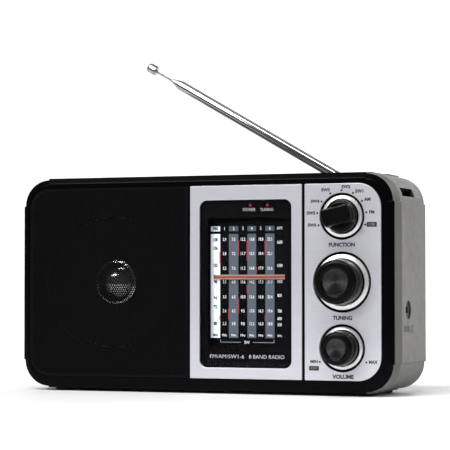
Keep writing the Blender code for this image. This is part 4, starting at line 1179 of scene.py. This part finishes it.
def side_sockets():
    lip = 0.8 * MM
    half_high, half_long = 3.2 * MM, 12.8 * MM
    top = CORNER - CORNER_STEP - WALL - GAP
    floor = top - 5 * MM
    low = (-half_high - lip, -half_long - lip, -2.4 * MM)
    socket = bar("usb_port", low, (half_high + lip, half_long + lip, top - MM), [PLATED, MOULDED])
    cut(socket, bar("well", (-SLOT_HALF, -half_long, floor), (SLOT_HALF, half_long, 2 * CORNER)))
    cut(socket, bar("port", (-2.3 * MM, -6.3 * MM, floor - 9 * MM), (2.3 * MM, 6.3 * MM, top)))
    join(socket, bar("tongue", (-0.2 * MM, -5.6 * MM, floor - 9.5 * MM), (1.6 * MM, 5.6 * MM, floor - MM)))
    painted(socket, lambda c: c.z > floor - 0.1 * MM)
    socket.matrix_world = socket_frame()
    ridden(eased(socket, 0.15 * MM), "case", "usb_socket", slot="plated_steel")
    face, wall_back = -0.95 * MM, -WALL - GAP
    path = [
        mm(0, -14.5, 0), mm(0, -13, 0), mm(2.2, -13, 0), (2.2 * MM, face, 0.35 * MM),
        (3.2 * MM, face, 0.25 * MM), (3.2 * MM, wall_back, 0),
        (5.5 * MM, wall_back, 0.2 * MM), mm(5.5, -14.5, 0.2),
    ]
    jack = turned("phones_jack", soften(path, True), MOULDED, 64)
    ridden(place(jack, at(*JACK), (0, 90, 0)), "case", "headphone_jack", slot="moulded_black")


def side_signs():
    """A small printed headphone sign and its word under the jack."""
    x, depth, height = JACK
    x -= SKIN / 2
    middle = Vector((depth / MM + 7.2, height / MM - 10.8))
    band = arc((0, -0.2), 2.4, 0, 180, 16) + arc((0, -0.2), 1.3, 180, 0, 16)
    cups = [oblong(side * 1.6 - 0.9, side * 1.6 + 0.9, -2.6, -0.2) for side in (-1, 1)]
    points, faces = [], []
    for outline in (band, *cups):
        first, count = len(points), len(outline)
        for lift in (0, FILM):
            points += [at(x + lift, (middle.x + u) * MM, (middle.y + v) * MM) for u, v in outline]
        faces += walls(first, count)
        half = count // 2
        for start in (first, first + count):
            end = start + count
            rungs = [[start + i, start + i + 1, end - 2 - i, end - 1 - i] for i in range(half - 1)]
            faces += rungs if count > 4 else [[start + i for i in range(count)]]
    ridden(piece("phones_sign", points, faces, PRINT_BLACK, 30), "case")
    turn = Matrix.Rotation(radians(90), 4, "Z")
    word = lettering("phones_word", [("PHONES", 0, 0, 4.0, 0.72)], 0, PRINT_BLACK, weight=0.11)
    origin = at(0, 0, 0)
    word.data.transform(Matrix.Translation(at(x + 0.01 * MM, depth - 2.9 * MM, height - 11.1 * MM)) @ turn)
    word.data.transform(Matrix.Translation(-(turn @ origin)))


def mains_inlet():
    x0, x1, z0, z1 = area_of("ac_inlet")
    front, back = depths_of("ac_inlet")
    inlet = block("mains_socket", (x0, front, z0), (x1, back, z1), [MOULDED, PLATED])
    middle_x, middle_z = centre_of("ac_inlet")
    floor = back - 10 * MM
    pins = [middle_x + side * 4.3 * MM for side in (-1, 1)]
    waist = 3.2 * MM
    end = (pins[1], CASE_DEPTH + MM, middle_z + waist)
    cut(inlet, block("waist", (pins[0], floor, middle_z - waist), end))
    for x in pins:
        cut(inlet, front_hole(x, middle_z, 4.4 * MM, floor, CASE_DEPTH + MM, 64))
    for x in pins:
        join(inlet, front_hole(x, middle_z, 1.2 * MM, floor - 0.5 * MM, back - 2 * MM, 32))
    eased(inlet, 0.18 * MM)
    deep, up = FRONT_Y + floor, MID_Z + middle_z
    for x in pins:
        painted(inlet, lambda c: c.y > deep and ((c.x - x) ** 2 + (c.z - up) ** 2) ** 0.5 < 1.4 * MM)
    ridden(inlet, "case", "ac_inlet", slot="moulded_black")


# ---- speaker


def speaker():
    rim = radius_of("speaker_frame") / MM
    frame_path = [
        (14.4, 23.6, 0), (24.6, 23.6, 1.5), (39.6, 9.5, 1.0), (39.6, 4.0, 0.3), (rim, 4.0, 0.3),
        (rim, 5.6, 0.3), (41.2, 5.6, 0.5), (41.2, 10.0, 1.0), (27.0, 23.0, 1.5),
        (27.0, 25.4, 0.2), (14.4, 25.4, 0),
    ]
    cone_path = [
        (12.0, 28.0, 0), (12.0, 17.0, 0.3), (24.0, 12.0, 6.0), (36.5, 7.6, 0.6), (37.6, 6.6, 0.9),
        (38.9, 7.4, 0.3), (38.9, 8.0, 0.2), (37.6, 7.4, 0.5), (36.9, 8.3, 0.4), (24.0, 12.9, 6.0),
        (13.0, 18.0, 0.3), (13.0, 28.0, 0),
    ]
    cap_path = [(r, 16.6 - z, 0) for r, z in arc((0, -7.7), 17.2, 90, 43, 16)]
    cap_path = [(0, *cap_path[0][1:]), *cap_path[1:-1]]
    cap_path += [(13.5, 12.1, 0.5), (13.5, 13.0, 0.2), (12.6, 13.2, 0.2), (12.6, 15.6, 0.2)]
    cap_path += [(11.6, 15.6, 0.2), (10.5, 12.4, 1.0), (0, 9.0, 0)]
    for node, path, look, body, slot in (
        ("speaker_frame", frame_path, [PLATED, PAPER], "case", "plated_steel"),
        ("speaker_cone", cone_path, PAPER, "cone", "cone_paper"),
        ("dust_cap", cap_path, CHROME, "cone", "chrome_bright"),
    ):
        path = [(r * MM, -depth * MM, reach * MM) for r, depth, reach in path]
        closed = path[0][0] > 0
        part = turned(node + "_turned", soften(path, closed), look, 96)
        if node == "speaker_frame":
            painted(part, lambda c: c.z > -9.5 * MM)
        ridden(facing_front(part, SPEAKER_X, SPEAKER_Z), body, node, slot=slot)


# ---- handle and antenna


def carry_handle():
    _, depth, height = pivot("handle_lift")
    half = HANDLE[1]
    low, high = 55.6 * MM, HANDLE[3]
    edge = 1.3 * MM
    rings = []
    for x, inset in ((-half, 0.9), (-half + 0.3 * MM, 0.3), (-half + 0.9 * MM, 0)):
        rings.append((x, inset * MM))
    rings += [(-x, inset) for x, inset in reversed(rings)]
    sections = []
    for x, inset in rings:
        path = [
            (HANDLE_FRONT + inset, low + inset, edge), (HANDLE_BACK - inset, low + inset, edge),
            (HANDLE_BACK - inset, high - inset, edge), (HANDLE_FRONT + inset, high - inset, edge),
        ]
        sections.append([at(x, y, z) for y, z in soften(path, True, 5)])
    grip = loft("handle_grip", sections, GREY_CASE)
    reach = 3.3 * MM
    for side in (-1, 1):
        outline = arc((depth, height), reach, 90, 270, 24)
        outline += [(HANDLE_FRONT + 2 * MM, height - reach), (HANDLE_FRONT + 2 * MM, height + reach)]
        rings = [[at(side * x, y, z) for y, z in outline] for x in (ARM_IN, ARM_OUT)]
        join(grip, loft("arm", rings))
    for side in (-1, 1):
        cut(grip, side_hole(rod(-9 * MM, 2 * MM, PIN_BORE), side * ARM_OUT, depth, height, side))
    eased(grip, 0.3 * MM, 50)
    ridden(grip, "handle", "carry_handle", slot="case_grey")


ANTENNA_AXIS = Vector(JOINTS["antenna_slide_2"]["axis"]).normalized()
ELBOW = Vector(JOINTS["antenna_tilt"]["pos_m"])
SWIVEL = Vector(JOINTS["antenna_swivel"]["pos_m"])


def antenna_frame(origin):
    """Local +Z runs out along the antenna, and local +Y is the world's."""
    side = Vector((0, 1, 0)).cross(ANTENNA_AXIS)
    turn = Matrix((side, (0, 1, 0), ANTENNA_AXIS)).transposed().to_4x4()
    return Matrix.Translation(origin) @ turn


def antenna_mount():
    base = settle(place(rod(1.5 * MM, 3 * MM, 5.5 * MM, 96), (0, 0, 0), (90, 0, 0)))
    base.name = "antenna_swivel"
    base.data.materials.clear()
    base.data.materials.append(CHROME)
    pin = settle(place(rod(2 * MM, 7 * MM, 2 * MM), (0, 0, 0), (90, 0, 0)))
    body = bar("body", mm(-3.4, -2.4, -4.5), mm(3.4, 2.6, 4.6))
    join(base, pin, body)
    elbow = (ELBOW - SWIVEL).length
    for side in (-1, 1):
        outline = arc((0, elbow), 2.6 * MM, 0, 180, 24) + [mm(-2.6, 4), mm(2.6, 4)]
        ear = loft("ear", [[(side * x, y, z) for y, z in outline] for x in mm(1.6, 3.35)])
        cut(ear, settle(place(rod(-5 * MM, 5 * MM, 1.3 * MM), (0, 0, elbow), (0, 90, 0))))
        join(base, ear)
    base.matrix_world = antenna_frame(SWIVEL)
    ridden(eased(base, 0.2 * MM), "antenna_swivel_base", "antenna_base", slot="chrome_bright")
    outline = arc((0, 0), 2.6 * MM, 180, 360, 24) + [mm(2.6, 4.5), mm(-2.6, 4.5)]
    tongue = loft("antenna_joint", [[(x, y, z) for y, z in outline] for x in mm(-1.3, 1.3)], CHROME)
    pin = settle(place(rod(-3.3 * MM, 3.3 * MM, MM), (0, 0, 0), (0, 90, 0)))
    join(tongue, pin, rod(4 * MM, 6.2 * MM, 3.2 * MM), rod(5 * MM, 12 * MM, 2.5 * MM))
    tongue.matrix_world = antenna_frame(ELBOW)
    ridden(eased(tongue, 0.15 * MM), "antenna_outer", "antenna_elbow", slot="chrome_bright")


TUBES = ((3.2, 2.85), (2.6, 2.3), (2.05, 1.75), (1.5, 1.2))
TUBE_BODIES = ("antenna_outer", "antenna_second", "antenna_third", "antenna_fourth")
TUBE_END = 153.8 * MM
TUBE_STEP = 1.87 * MM
TIP_END = 178.3 * MM
TIP_LENGTH, TIP_RADIUS, WHIP_RADIUS = mm(6.5, 3.15, 0.95)


def antenna_tubes():
    start = (ELBOW - SWIVEL).length + 6.5 * MM
    for i, (outer, inner) in enumerate(TUBES):
        low = start if i == 0 else start + (7 + i) * MM
        high = TUBE_END + i * TUBE_STEP
        outer, inner = outer * MM, inner * MM
        neck = (outer + inner) / 2 - 0.02 * MM
        path = [
            (inner, low, 0), (outer, low, 0.1 * MM), (outer, high - 1.6 * MM, 0.3 * MM),
            (outer - 0.06 * MM, high - 1.2 * MM, 0.2 * MM),
            (outer - 0.02 * MM, high - 0.5 * MM, 0.3 * MM), (neck, high, 0.2 * MM), (inner, high, 0.05 * MM),
        ]
        tube = turned(f"antenna_section_{i + 1}", soften(path, True), NICKEL, 64)
        tube.matrix_world = antenna_frame(SWIVEL)
        ridden(tube, TUBE_BODIES[i], f"antenna_tube_{i + 1}", slot="chrome_bright")
    tip, wide, thin = TIP_END - TIP_LENGTH, TIP_RADIUS, WHIP_RADIUS
    low = start + 26 * MM
    path = [
        (0, low, 0), (thin, low, 0.1 * MM), (thin, tip - 0.32 * MM, 0.1 * MM),
        (1.5 * MM, tip - 0.25 * MM, 0.1 * MM), (1.6 * MM, tip, 0.05 * MM),
        (wide - 0.2 * MM, tip, 0.3 * MM), (wide, tip + 0.7 * MM, 0.4 * MM),
        (wide, TIP_END - 1.1 * MM, 0.6 * MM), (wide - 1.0 * MM, TIP_END, 0.6 * MM), (0, TIP_END, 0),
    ]
    rod_piece = turned("antenna_whip", soften(path), NICKEL, 64)
    rod_piece.matrix_world = antenna_frame(SWIVEL)
    settle(rod_piece)
    ridden(rod_piece, "antenna_last", "antenna_rod", slot="chrome_bright")


# ---- stage


def floor():
    """A seamless pale sweep that the set stands on."""
    half, back = 3.2, 3.4
    path = [(-0.46, 0, 0), (back, 0, 0.8), (back + 0.8, 3.4, 0)]
    side = soften(path, steps=16)
    points = [(x, y, z) for y, z in side for x in (-half, half)]
    faces = [[2 * i, 2 * i + 1, 2 * i + 3, 2 * i + 2] for i in range(len(side) - 1)]
    look = finish("paper_sweep", (0.95, 0.95, 0.95), 0.6, (2, 0.005), vary=0.004, patch=0.3)
    sweep = piece("paper_sweep", points, faces, look)
    sweep.location.z = -0.0002


def softbox(name, location, target, size, power, spread=180):
    light = bpy.data.lights.new(name, "AREA")
    light.shape = "RECTANGLE"
    light.size, light.size_y = size
    light.energy = power
    light.spread = radians(spread)
    lamp = linked(name, light)
    lamp.location = location
    lamp.rotation_euler = (Vector(target) - Vector(location)).to_track_quat("-Z", "Y").to_euler()


def studio():
    scene = bpy.context.scene
    scene.view_settings.view_transform = "Standard"
    scene.world = scene.world or bpy.data.worlds.new("studio")
    scene.world.use_nodes = True
    back = scene.world.node_tree.nodes["Background"]
    back.inputs["Color"].default_value = (1, 1, 1, 1)
    back.inputs["Strength"].default_value = 0.16
    middle = (0, 0, MID_Z)
    softbox("overhead", (-0.1, -0.75, 1.35), middle, (1.2, 0.3), 18.5)
    softbox("key", (-0.5, -1.25, 0.78), middle, (0.6, 0.22), 10.5)
    softbox("right_back", (1.15, 0.95, 0.8), middle, (0.6, 0.9), 9.5)
    softbox("backdrop", (0, 0.75, 1.9), (0, 1.3, 0.1), (2.4, 0.5), 14, spread=85)
    softbox("far_sweep", (0, 1.9, 3.2), (0, 3.6, 0.4), (4.0, 0.8), 90, spread=120)


def camera():
    view = bpy.data.cameras.new("camera")
    view.lens = 157.9
    view.sensor_width = 36
    view.clip_start, view.clip_end = 0.05, 20
    thing = linked("camera", view)
    yaw, pitch = 0.376509, 0.030952
    thing.location = (0.4399, -1.1044, 0.0629)
    thing.rotation_euler = (pi / 2 + pitch, 0, yaw)
    bpy.context.scene.camera = thing


camera()
studio()
floor()
front_cabinet()
case_shell()
feet()
rear_cover()
rear_screws()
battery_door()
speaker_grille()
panels()
window_and_leds()
dial_prints()
window_prints()
panel_prints()
pointer()
control_dishes()
round_knobs()
function_knob()
side_sockets()
side_signs()
mains_inlet()
speaker()
carry_handle()
antenna_mount()
antenna_tubes()
dress_cad_nodes()
